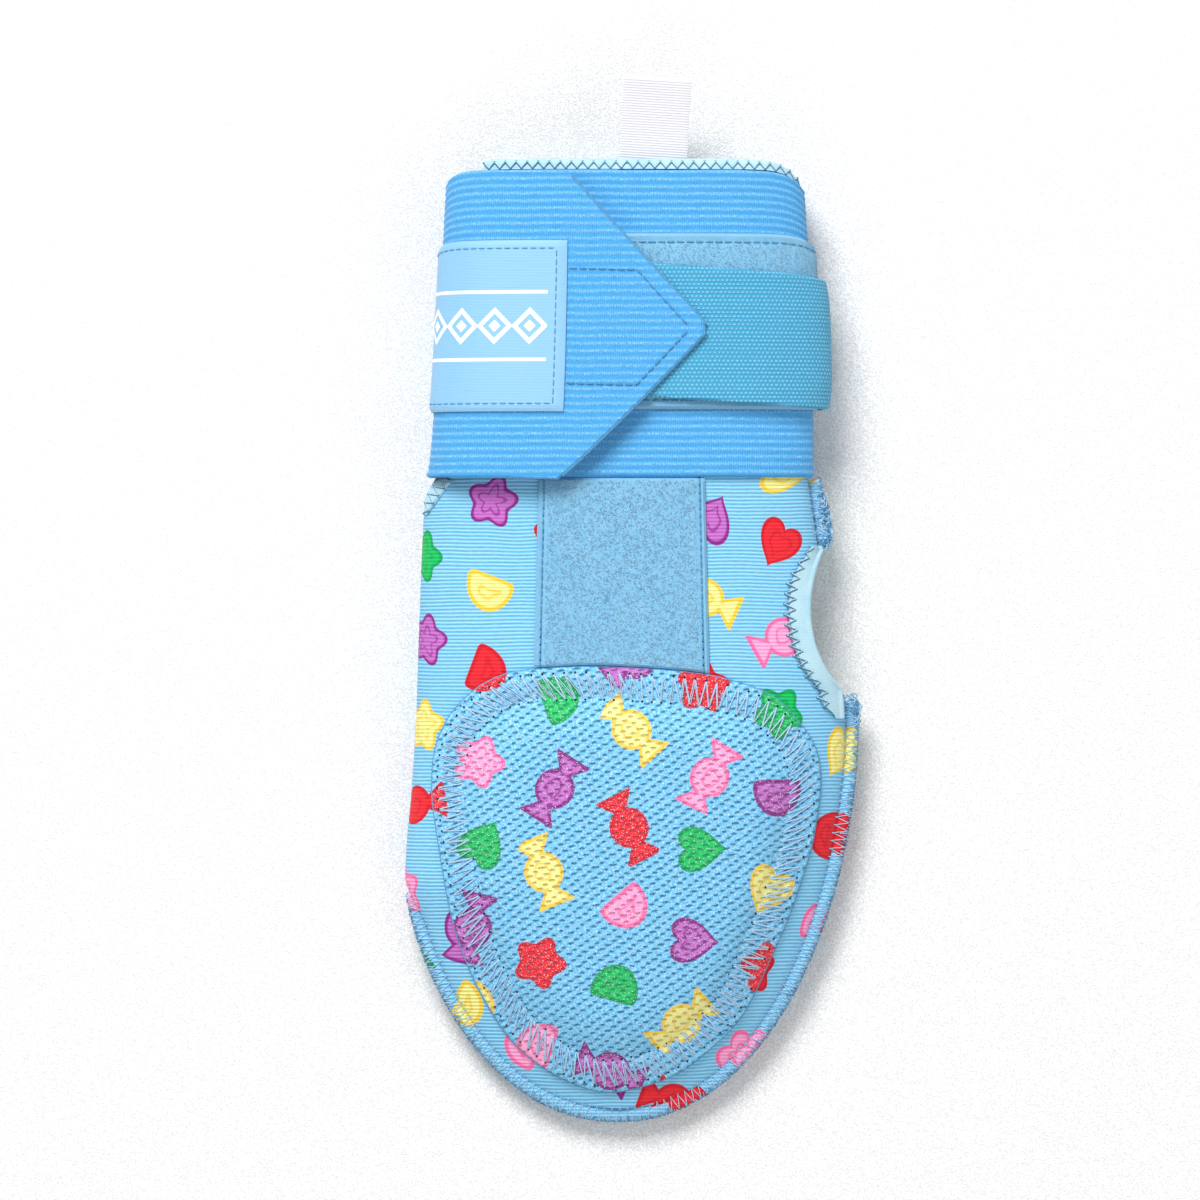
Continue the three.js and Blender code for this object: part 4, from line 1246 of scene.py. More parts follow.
@dataclass
class Piece:
    """A sub-assembly of the mitt, whose fields after these are its sizes in millimetres."""

    slot = ""

    tools: NodeTools
    made: list[Object] = field(default_factory=list, init=False)

    def keep(self, obj: Object, slot: str = "", replaces: Sequence[str] = ()) -> Object:
        """Parent a finished piece to the root body, hide the CAD nodes that it stands for and add it to the
        made pieces.

        Args:
            obj: The piece.
            slot: Not used.
            replaces: CAD nodes that it stands for.

        Returns:
            The piece.
        """
        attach(obj, "root")
        slot or self.slot
        if replaces:
            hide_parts(*replaces)
        self.made.append(obj)
        LOG.info("%s: %d faces", obj.name, len(obj.data.polygons))
        return obj

    def lay(self, sheet: Sheet, name: str, finish: Finish, node: str = "", slot: str = "") -> Object:
        """Keep a cloth, which may stand for a node."""
        return self.keep(add_object(sheet.mesh(name), finish), slot, [node] if node else [])

    def sew(
        self, name: str, lines: Sequence[Array], radius: float, finish: Finish, sides: int = 5, slot: str = ""
    ) -> None:
        """Keep threads along lines of points."""
        self.keep(self.tools.thread(name, lines, radius, finish, sides), slot)

    def prick(self, name: str, places: Array, radius: float, finish: Finish) -> None:
        """Keep small dark dots at the needle's places."""
        self.keep(self.tools.dots(name, places, radius, finish))


@dataclass
class Shell(Piece):
    """The hollow neoprene cover with its lining, cut open for the thumb and for the slit."""

    slot = "printed_neoprene"

    around: int = 150
    along_step: float = 1.9
    slit_from: float = 171.4
    slit_shoulder: tuple[float, float] = (-51.5, 179.2)
    slit_top_x: float = -42.0
    slit_floor: float = 0.46
    thumb_steps: int = 48
    toe_flat: float = 0.4
    toe_spare: float = 1.0

    def places(self, start: float, end: float) -> Array:
        """Give places along the mitt, closer together at the toe."""
        toe = start + (40 - start) * np.linspace(0, 1, 26) ** 1.7
        return np.concatenate([toe, np.linspace(40, end, round((end - 40) / self.along_step))[1:]])

    def rings(self, offset: float, start: float, end: float) -> tuple[Array, Array]:
        """Give rings of points and their flat coordinates.

        Args:
            offset: Distance outside the shell.
            start: First place along the mitt.
            end: Last place.

        Returns:
            Points and flat coordinates, ring by ring, from the thumb seam over the back and round.
        """
        along = self.places(start, end)
        half = self.around // 2
        edge = 1e-5
        upper = FORM.even_angles(edge, math.pi - edge, 1.0)
        upper = np.interp(np.linspace(0, 1, half), np.linspace(0, 1, len(upper)), upper)
        lower = TURN - upper[::-1]
        angles = np.concatenate([upper, lower])
        points = FORM.point(angles[None, :], along[:, None], offset)
        run = run_across(points)
        centre = run[:, half // 2][:, None]
        flat = stack(-(run - centre), np.broadcast_to(along[:, None], run.shape))
        return points, flat

    def loft(self, name: str, offset: float, start: float, end: float, finish: Finish) -> Object:
        """Make a closed body of rings."""
        points, flat = self.rings(offset, start, end)
        rows, columns = points.shape[:2]
        index = np.arange(rows * columns).reshape(rows, columns)
        follow = np.roll(index, -1, axis=1)
        quads = grid_faces(index, follow).tolist()
        faces = [*quads, index[0].tolist()[::-1], index[-1].tolist()]
        flats = flat.reshape(-1, 2)
        wide = (rows - 1) * columns
        values = [flats[corner] for face in faces for corner in face]
        for number in range(columns - 1, wide, columns):
            values[4 * number + 1] = values[4 * number]
            values[4 * number + 2] = values[4 * number + 3]
        mesh = new_mesh(name, points, faces, np.array(values))
        obj = add_object(mesh, finish)
        face_outwards(mesh)
        return obj

    def prism(self, outline: Sequence[tuple[float, float]], bottom: float, top: float) -> Object:
        """Make an upright cutter over an outline of x and along."""
        low = [(x, along, bottom) for x, along in outline]
        high = [(x, along, top) for x, along in outline]
        count = len(outline)
        sides = [(k, (k + 1) % count, (k + 1) % count + count, k + count) for k in range(count)]
        caps = [tuple(range(count))[::-1], tuple(range(count, 2 * count))]
        mesh = new_mesh("cutter", np.array(low + high), [*sides, *caps])
        mesh.uv_layers.new(name="cloth")
        obj = add_object(mesh, LINING)
        face_outwards(mesh)
        return obj

    def cut(self, obj: Object, cutter: Object) -> None:
        """Cut one body out of another and drop the cutter."""
        modifier = obj.modifiers.new("cut", "BOOLEAN")
        modifier.operation = "DIFFERENCE"
        modifier.solver = "MANIFOLD"
        modifier.object = cutter
        settle(obj)
        bpy.data.objects.remove(cutter)

    def build(self) -> None:
        """Build the cover and cut it open for the thumb and the slit."""
        form = FORM
        far, tall = 2 * form.width, 3 * form.height
        body = self.loft("shell_cover", 0, form.seam_width + self.toe_flat, form.wrist_end, JERSEY)
        toe = form.seam_width + form.toe_welt + self.toe_spare
        hollow = self.loft("hollow", -form.wall, toe, form.wrist_end + form.wall, LINING)
        body.data.materials.append(LINING.make())
        self.cut(body, hollow)
        along = np.linspace(form.thumb_from, form.thumb_to, self.thumb_steps)
        inset = form.thumb_cut(along) + form.hem_thickness + form.clearance
        edge = form.edge_x(Side.THUMB, along, 0, inset)
        inside = zip(edge[::-1].tolist(), along[::-1].tolist())
        thumb = [(far, form.thumb_from), (far, form.thumb_to), *inside]
        self.cut(body, self.prism(thumb, -form.height, tall))
        start_x = float(form.edge_x(Side.FOLD, np.array(self.slit_from))) - 1
        end = form.length + form.wall
        slit = [(-far, self.slit_from), (start_x, self.slit_from), self.slit_shoulder]
        slit += [(self.slit_top_x, end), (-far, end)]
        self.cut(body, self.prism(slit, self.slit_floor * form.height, tall))
        body.data.polygons.foreach_set("use_smooth", [True] * len(body.data.polygons))
        body.data.set_sharp_from_angle(angle=SHARP)
        cover = self.keep(body, replaces=["shell"])
        girth = float(np.ptp(self.rings(0, form.seam_width, form.wrist_end)[1][..., 0]))
        half_area(cover.data)


@dataclass
class OverlockedSeam(Piece):
    """A flat bead along the seam, wrapped in overlock thread."""

    slot = "printed_neoprene"

    bead_height: float = 2.8
    leg_pitch: float = 2.3
    leg: float = 0.12
    leg_reach: float = 0.6
    loop_pitch: float = 0.42
    loop: float = 0.17
    stand: float = 0.16
    tuck: float = 0.9
    ring_step: float = 1.2
    ring_points: int = 14
    thinnest: float = 0.35
    thumb_gap: float = 0.3
    back_squash: float = 0.92
    loop_points: int = 7
    knot_threads: int = 30

    def hand_path(self) -> tuple[Array, Array]:
        """Give the outline from the fold round the toe to the thumb, and the bead's share of its width."""
        fold_end = FORM.toes[Side.FOLD].length * FORM.length - self.thinnest * FORM.seam_taper
        shares = np.linspace(0, 1, 220)[1:] ** 2
        left = fold_end * shares[::-1]
        right = (FORM.thumb_from - self.thumb_gap) * shares
        tip = [FORM.tip_x * FORM.half_width]
        xs = np.concatenate([FORM.edge_x(Side.FOLD, left), tip, FORM.edge_x(Side.THUMB, right)])
        along = np.concatenate([left, [0.0], right])
        fold = np.maximum(self.thinnest, FORM.seam_inset(Side.FOLD, along) / FORM.seam_width)
        width = np.where(xs > 0, 1, fold)
        return stack(xs, along), width

    def wrist_path(self) -> tuple[Array, Array]:
        """Give the outline between the thumb opening and the wrist band."""
        along = np.linspace(FORM.thumb_to - FORM.clearance, FORM.band_bottom - FORM.clearance, 40)
        return stack(FORM.edge_x(Side.THUMB, along), along), np.ones_like(along)

    def even(self, path: Array, width: Array, step: float) -> tuple[Array, Array, Array]:
        """Space a path evenly and give its outward normals."""
        run = run_along(path)
        places = np.linspace(0, run[-1], max(4, round(run[-1] / step)))
        points = read_line(places, run, path)
        return points, np.interp(places, run, width), side_normals(np.gradient(points, axis=0))

    def around(self, points: Array, width: Array, normal: Array, turn: Array, grow: float) -> Array:
        """Give points round the bead's flat oval section.

        Args:
            points: Outline points.
            width: Shares of the seam's width.
            normal: Outward normals.
            turn: Angle round the section.
            grow: How far outside the bead.

        Returns:
            Points in millimetres.
        """
        full = FORM.seam_width * width
        half = (full - FORM.clearance + self.tuck) / 2
        centre = -(full + self.tuck) / 2 + FORM.clearance / 2
        out = centre + (half + grow) * np.cos(turn) * np.where(np.cos(turn) < 0, self.back_squash, 1)
        seam = FORM.section(points[:, 1])["seam"]
        rise = np.abs(np.sin(turn)) ** np.where(np.cos(turn) < 0, 0.3, 0.8)
        z = seam + (self.bead_height + grow) * np.sign(np.sin(turn)) * rise
        return stack(points[:, 0] + normal[:, 0] * out, points[:, 1] + normal[:, 1] * out, z)

    def bead(self, name: str, path: Array, width: Array, node: str, seed: int) -> None:
        """Make one stretch of bead and its threads."""
        points, widths, normal = self.even(path, width, self.ring_step)
        turns = np.linspace(0, TURN, self.ring_points + 1)[:-1]
        whole = np.ones(len(points))
        rings = np.stack([self.around(points, widths, normal, turn * whole, 0) for turn in turns], axis=1)
        count = len(turns)
        index = np.arange(rings.shape[0] * count).reshape(-1, count)
        follow = np.roll(index, -1, axis=1)
        quads = stack(index[:-1], index[1:], follow[1:], follow[:-1]).reshape(-1, 4).tolist()
        faces = [*quads, index[0].tolist(), index[-1].tolist()[::-1]]
        flat = rings.reshape(-1, 3)[:, :2]
        mesh = new_mesh(name, rings, faces, np.array([flat[k] for face in faces for k in face]))
        mesh.polygons.foreach_set("use_smooth", [True] * len(faces))
        face_outwards(mesh)
        self.keep(add_object(mesh, JERSEY), replaces=[node])
        self.overlock(name, path, width, seed)

    def overlock(self, name: str, path: Array, width: Array, seed: int) -> None:
        """Sew thin slanted legs over a bead, with a fuzzy chain of loops along its outer edge.

        Args:
            name: The bead's name.
            path: Outline points.
            width: Shares of the seam's width.
            seed: Seed of the threads' unevenness.
        """
        random = np.random.default_rng(seed)
        fine, fine_width, fine_normal = self.even(path, width, self.leg_pitch / 2)
        legs: list[Array] = []
        share = np.linspace(0, 1, 9)
        for k in range(len(fine) - 1):
            out, inside = 0.2, FORM.seam_width * fine_width[k] + self.leg_reach + random.uniform(-0.2, 0.2)
            inset = blend(*((out, inside) if k % 2 else (inside, out)), share)
            place = fine[k] + (fine[k + 1] - fine[k]) * share[:, None] - fine_normal[k] * inset[:, None]
            level = FORM.back(place[:, 0], place[:, 1])[:, 2]
            seam = FORM.section(place[:, 1])["seam"]
            round_off = np.sqrt(np.clip(1 - (1 - np.clip(inset / 1.4, 0, 1)) ** 2, 0, 1))
            bead = seam + self.bead_height * blend(0.35, 1, round_off)
            top = np.where(inset < FORM.seam_width * fine_width[k], bead, np.maximum(bead, level))
            legs.append(stack(place[:, 0], place[:, 1], top + self.stand))
        self.sew(name + "_legs", legs, self.leg, PALE_THREAD)
        close, close_width, close_normal = self.even(path, width, self.loop_pitch)
        loops: tuple[list[Array], list[Array], list[Array]] = ([], [], [])
        count = self.loop_points
        for k in range(len(close)):
            start = random.uniform(-1.3, -0.3)
            turn = np.linspace(start, start + random.uniform(1.0, 2.0), count)
            lean = random.uniform(-0.7, 0.7)
            tangent = np.array([-close_normal[k][1], close_normal[k][0]])
            place = close[k] + tangent * (lean * np.linspace(-1, 1, count)[:, None])
            grow = self.stand * 0.4 + random.uniform(0, 0.3)
            normals = np.repeat(close_normal[k][None, :], count, axis=0)
            loops[k % 3].append(self.around(place, np.full(count, close_width[k]), normals, turn, grow))
        for number, finish in enumerate(SEAM_THREADS):
            self.sew(f"{name}_loops_{number}", loops[number], self.loop, finish, 4)

    def bundle(self, name: str, spots: Sequence[tuple[float, float, float]], seed: int) -> None:
        """Knot short threads over the ends of the seam.

        Args:
            name: The piece's name.
            spots: Places along the thumb side, how far in, and the knot's radius, in millimetres.
            seed: Seed of the threads' unevenness.
        """
        random = np.random.default_rng(seed)
        for number, finish in enumerate(SEAM_THREADS):
            lines = []
            for along, inset, radius in spots:
                x = float(FORM.edge_x(Side.THUMB, np.array(along))) - inset
                seam = float(FORM.section(np.array(along))["seam"])
                for _ in range(self.knot_threads):
                    start = random.normal(0, 0.36, 3) * (0.7, 1.2, 0.9) * radius
                    heading = random.uniform(0, TURN)
                    curl = random.uniform(-4.5, 4.5)
                    step = np.linspace(0, 1, self.loop_points)
                    turned = heading + curl * step
                    reach = random.uniform(0.35, 0.75) * radius
                    arch = 0.6 * np.sin(math.pi * step)
                    line = stack(np.cos(turned), np.sin(turned), arch) * reach
                    lines.append(line - line[0] + start + (x, along, seam + 1.6))
            self.sew(f"{name}_{number}", lines, self.loop, finish, 4)

    def build(self) -> None:
        """Build both stretches."""
        path, width = self.hand_path()
        self.bead("seam_bead_hand", path, width, "seam_edging_hand", 11)
        path, width = self.wrist_path()
        self.bead("seam_bead_wrist", path, width, "seam_edging_wrist", 12)
        wrist = [(along, 1.4, 1.7) for along in np.linspace(FORM.thumb_to - 0.5, FORM.thumb_to + 10, 6)]
        end = FORM.thumb_from - self.thumb_gap
        hand = [(end - 1.4, 1.8, 1.6), (end - 3.0, 1.4, 1.4), (end - 5.0, 1.1, 1.2)]
        self.bundle("seam_knots", [*wrist, *hand], 14)


PAD_OUTLINE = (
    (0.0, -0.105), (0.019, 0.121), (0.056, 0.306), (0.145, 0.532), (0.21, 0.635), (0.341, 0.769),
    (0.418, 0.841), (0.558, 0.943), (0.64, 0.979), (0.727, 1.0), (0.815, 0.969), (0.908, 0.815),
    (0.946, 0.686), (0.984, 0.378), (1.0, -0.136), (0.995, -0.445), (0.986, -0.599), (0.958, -0.743),
    (0.914, -0.856), (0.867, -0.933), (0.804, -0.985), (0.738, -1.0), (0.657, -0.99), (0.43, -0.907),
    (0.322, -0.835), (0.238, -0.753), (0.126, -0.599), (0.061, -0.434), (0.028, -0.311),
)


@dataclass
class BackPad(Piece):
    """The padded mesh shield with its zigzag border."""

    slot = "printed_mesh"

    length: float = 119.8
    width: float = 108.9
    centre_x: float = -1.4
    toe_gap: float = 4.8
    rim_thickness: float = 1.8
    thickness: float = 5.0
    rim_width: float = 9.0
    stitch_pitch: float = 3.15
    stitch_in: float = 1.6
    stitch_out: float = 9.2
    spokes: int = 220
    rings: int = 46
    border_rings: int = 26
    border_share: float = 0.3
    middle_share: float = 0.52

    def __post_init__(self) -> None:
        """Smooth the outline."""
        self.outline = self.smooth_outline()
        self.centre = np.array([self.centre_x, self.base + self.middle_share * self.length])

    @property
    def base(self) -> float:
        """The pad's toe end."""
        return FORM.seam_width + self.toe_gap

    def smooth_outline(self) -> Array:
        """Give evenly spaced points round the pad.

        Returns:
            Points of x and along.
        """
        share, out = np.array(PAD_OUTLINE).T
        corners = stack(self.centre_x + out * self.width / 2, self.base + share * self.length)
        closed = np.concatenate([corners, corners[:3]])
        b, s, e, a = (k[:, None, :] for k in (closed[:-3], closed[1:-2], closed[2:-1], closed[3:]))
        part = np.linspace(0, 1, 24, endpoint=False)[None, :, None]
        bend, twist = 2 * b - 5 * s + 4 * e - a, 3 * s - b - 3 * e + a
        loop = (0.5 * (2 * s + (e - b) * part + bend * part**2 + twist * part**3)).reshape(-1, 2)
        loop = np.concatenate([loop, loop[:1]])
        run = run_along(loop)
        even = read_line(np.linspace(0, run[-1], self.spokes + 1)[:-1], run, loop)
        padded = np.concatenate([even[-2:], even, even[:2]])
        return stack(*(np.convolve(column, np.array([1, 2, 3, 2, 1]) / 9, "valid") for column in padded.T))

    def inset(self, distance: float, count: int | None = None) -> Array:
        """Give the outline drawn in by a distance.

        Args:
            distance: How far in, in millimetres.
            count: How many evenly spaced points, or as many as the outline has.

        Returns:
            Points of x and along.
        """
        loop = self.outline
        moved = loop - distance * side_normals(np.roll(loop, -1, axis=0) - np.roll(loop, 1, axis=0))
        if count is None:
            return moved
        closed = np.concatenate([moved, moved[:1]])
        run = run_along(closed)
        return read_line(np.linspace(0, run[-1], count, endpoint=False), run, closed)

    def lift(self, share: Array, distance: Array) -> Array:
        """Give the pad's height over the shell.

        Args:
            share: Share of the way from the centre to the edge.
            distance: Distance from the edge, in millimetres.

        Returns:
            Heights in millimetres.
        """
        rim = 1 - self.rim_width / (self.width / 2)
        body = blend(self.thickness, self.rim_thickness, ease(rim - 0.16, rim + 0.05, share))
        pinch = groove(distance - self.stitch_out, 0.35, 1.3) + groove(distance - self.stitch_in, 0.25, 0.9)
        return FORM.clearance + (body - pinch) * rounded(distance, 1.3, 0.2)

    def top(self, flat: Array) -> Array:
        """Give points on the pad's top over flat points of x and along near its border."""
        gap = self.outline[None, :, :] - flat.reshape(-1, 2)[:, None, :]
        distance = np.sqrt((gap**2).sum(axis=2)).min(axis=1).reshape(flat.shape[:-1])
        radius = np.linalg.norm(flat - self.centre, axis=-1)
        share = radius / (radius + distance)
        return FORM.back(flat[..., 0], flat[..., 1], self.lift(share, distance))

    def build(self) -> None:
        """Build the pad and its stitching."""
        border = 1 - np.linspace(0, self.border_share, self.border_rings) ** 1.2
        crown = np.linspace(0.68, 0.0, self.rings - self.border_rings)
        shares = np.concatenate([border, crown])
        flat = self.centre + (self.outline - self.centre)[:, None, :] * shares[None, :, None]
        radius = np.linalg.norm(self.outline - self.centre, axis=1)[:, None]
        distance = radius * (1 - shares[None, :])
        lift = self.lift(np.broadcast_to(shares[None, :], distance.shape), distance)
        outer = FORM.back(flat[..., 0], flat[..., 1], lift)
        inner = FORM.back(flat[..., 0], flat[..., 1], FORM.clearance * 0.8)
        mesh = Sheet(outer, inner, flat).mesh("back_pad_cover", wrap=True)
        with edited(mesh) as body:
            bmesh.ops.remove_doubles(body, verts=body.verts, dist=1e-6)
        pad = self.keep(add_object(mesh, AIR_MESH), replaces=["back_pad"])
        self.stitch()

    def stitch(self) -> None:
        """Sew the zigzag border, its needle holes and the folded edge."""
        girth = np.linalg.norm(np.roll(self.outline, -1, axis=0) - self.outline, axis=1).sum()
        count = round(girth / self.stitch_pitch)
        inside = self.inset(self.stitch_out, count)
        outside = self.inset(self.stitch_in, count)
        random = np.random.default_rng(4)
        legs: list[Array] = []
        for k in range(count):
            for start, end in ((outside[k], inside[k]), (inside[k], outside[(k + 1) % count])):
                for strand in range(2):
                    sway = random.uniform(-0.16, 0.16, 2) + (strand - 0.5) * 0.24
                    share = np.linspace(0, 1, 7)[:, None]
                    line = self.top(start + (end - start) * share + sway)
                    line[:, 2] += 0.1 + 0.28 * np.sin(math.pi * share[:, 0]) ** 0.5
                    line[[0, -1], 2] -= 0.3
                    legs.append(line)
        self.sew("pad_zigzag", legs, 0.13, PALE_THREAD)
        holes = self.top(np.concatenate([inside, outside]))
        holes[:, 2] += 0.12
        chosen = random.uniform(0, 1, len(holes)) < 0.8
        self.prick("pad_needle_holes", holes[chosen], 0.36, NEEDLE_HOLE)
        edge = np.concatenate([self.inset(0.15), self.inset(0.15)[:1]])
        line = FORM.back(edge[:, 0], edge[:, 1], FORM.clearance + 0.35)
        self.sew("pad_edge_cord", [line], 0.32, BLUE_THREAD, 6)


@dataclass
class HandLoopPatch(Piece):
    """The fuzzy loop patch between the pad and the wrist band."""

    slot = "loop_pile"

    pad: BackPad
    width: float = 46.5
    pad_width: float = 49.0
    centre_x: float = -2.7
    thickness: float = 1.8
    border: float = 1.6

    def pad_top(self, x: Array) -> Array:
        """Give where the pad's wrist edge lies at each x."""
        near = self.pad.outline[self.pad.outline[:, 1] > self.pad.base + 0.7 * self.pad.length]
        near = near[np.argsort(near[:, 0])]
        return np.interp(x, near[:, 0], near[:, 1])

    def grid(self, across: Array, share: Array) -> tuple[Array, Array]:
        """Give x and along over the patch by shares of its width and length."""
        start = self.pad_top(self.centre_x + across * self.pad_width) + FORM.clearance
        end = FORM.band_bottom - 0.1
        x = self.centre_x + across * blend(self.pad_width, self.width, share)
        return x, blend(start, end, share)

    def build(self) -> None:
        """Build the patch, its pile and its seams."""
        across = np.linspace(-0.5, 0.5, 70)[:, None]
        share = np.linspace(0, 1, 80)[None, :]
        x, along = self.grid(across, share)
        side = (0.5 - np.abs(across)) * self.width
        ends = np.minimum(share, 1 - share) * (along[:, -1:] - along[:, :1])
        body = self.thickness - 0.3 + lumps(x, along) - groove(side - self.border, 0.45, 0.7)
        lift = FORM.clearance + body * rounded(np.minimum(side, ends), 1.0)
        flat = stack(x, along)
        outer = FORM.back(x, along, lift)
        inner = FORM.back(x, along, FORM.clearance * 0.8)
        patch = self.lay(Sheet(outer, inner, flat), "hand_loop_ground", PILE, "hand_loop_patch")
        inside = outer[4:-4, 1:-1]
        self.keep(self.tools.pile("hand_loop_pile", inside, 4200, 21, BLUE_FIBRE, 0.3))
        # Painted glints: a scatter of near-white loops over the pile.
        self.keep(self.tools.pile("hand_loop_glints", inside, 2600, 22, PAINTED_GLINT_FIBRE, 0.22))
        level = FORM.clearance + self.thickness - 0.35
        lines: list[Array] = []
        holes: list[Array] = []
        for side in (self.border / self.width - 0.5, 0.5 - self.border / self.width):
            path = FORM.back(*self.grid(np.full(60, side), np.linspace(0, 1, 60)), level)
            lines.extend(stitches(path, 2.2, 0.5))
            holes.append(FORM.back(*self.grid(np.full(26, side), np.linspace(0, 1, 26)), level))
        self.sew("hand_loop_seams", lines, 0.2, BLUE_THREAD)
        self.prick("hand_loop_needle_holes", np.concatenate(holes), 0.28, NEEDLE_HOLE)


def rib_shares(ribs: int, steps: Sequence[float]) -> Array:
    """Give shares of a width with the same steps on every rib."""
    return np.append((np.arange(ribs)[:, None] + np.array(steps)).reshape(-1) / ribs, 1.0)


def constant(value: float) -> Profile:
    """Give a profile that is the same at every angle."""
    return lambda angle: np.full_like(angle, value)


@dataclass
class Winding:
    """A strip wound round the wrist, as functions of the angle."""

    angles: Array
    thickness: float
    offset: Callable[[Array, Array], Array]
    middle: Profile
    half: Profile

    def low(self, angle: Array) -> Array:
        """Give the strip's toe edge."""
        return self.middle(angle) - self.half(angle)

    def high(self, angle: Array) -> Array:
        """Give the strip's wrist edge."""
        return self.middle(angle) + self.half(angle)

    def point(self, angle: Array, share: Array, lift: Array | float) -> Array:
        """Give points on the strip.

        Args:
            angle: Angle round the wrist.
            share: Share of the strip's width.
            lift: Distance over its underside.

        Returns:
            Points in millimetres.
        """
        angle, share, lift = np.broadcast_arrays(angle, share, lift)
        along = blend(self.low(angle), self.high(angle), share)
        return FORM.point(angle, along, self.offset(angle, share) + lift)

    def top(self, angle: Array, share: Array, proud: float = 0.0) -> Array:
        """Give points on the strip's outer face, or proud of it."""
        return self.point(angle, share, self.thickness + proud)

    def runs(self) -> Array:
        """Give the distance along the strip at each of its angles."""
        line = self.point(self.angles, np.full_like(self.angles, 0.5), self.thickness)
        return run_along(line)

    def sheet(self, shares: Array, relief: Callable[[Array, Array, Array], Array] | None = None) -> Sheet:
        """Make the strip's grid.

        Args:
            shares: Shares of the width for the grid's columns.
            relief: Height to add from the run, the distance across and the angle.

        Returns:
            The sheet.
        """
        angle = self.angles[:, None]
        run = np.broadcast_to(self.runs()[:, None], (len(self.angles), len(shares)))
        width = (self.high(self.angles) - self.low(self.angles))[:, None]
        across = width * shares[None, :]
        middle = (self.high(self.angles) + self.low(self.angles))[:, None] / 2
        end = np.minimum(run, run[-1, 0] - run)
        side = np.minimum(across, width - across)
        edge = rounded(np.minimum(end, side), 0.7, 0.35)
        flat = stack(run, middle + across - width / 2)
        extra = relief(run, flat[..., 1], angle) if relief else 0
        lift = (self.thickness + extra) * edge
        share = np.broadcast_to(shares[None, :], run.shape)
        return Sheet(self.point(angle, share, lift), self.point(angle, share, 0.0), flat)


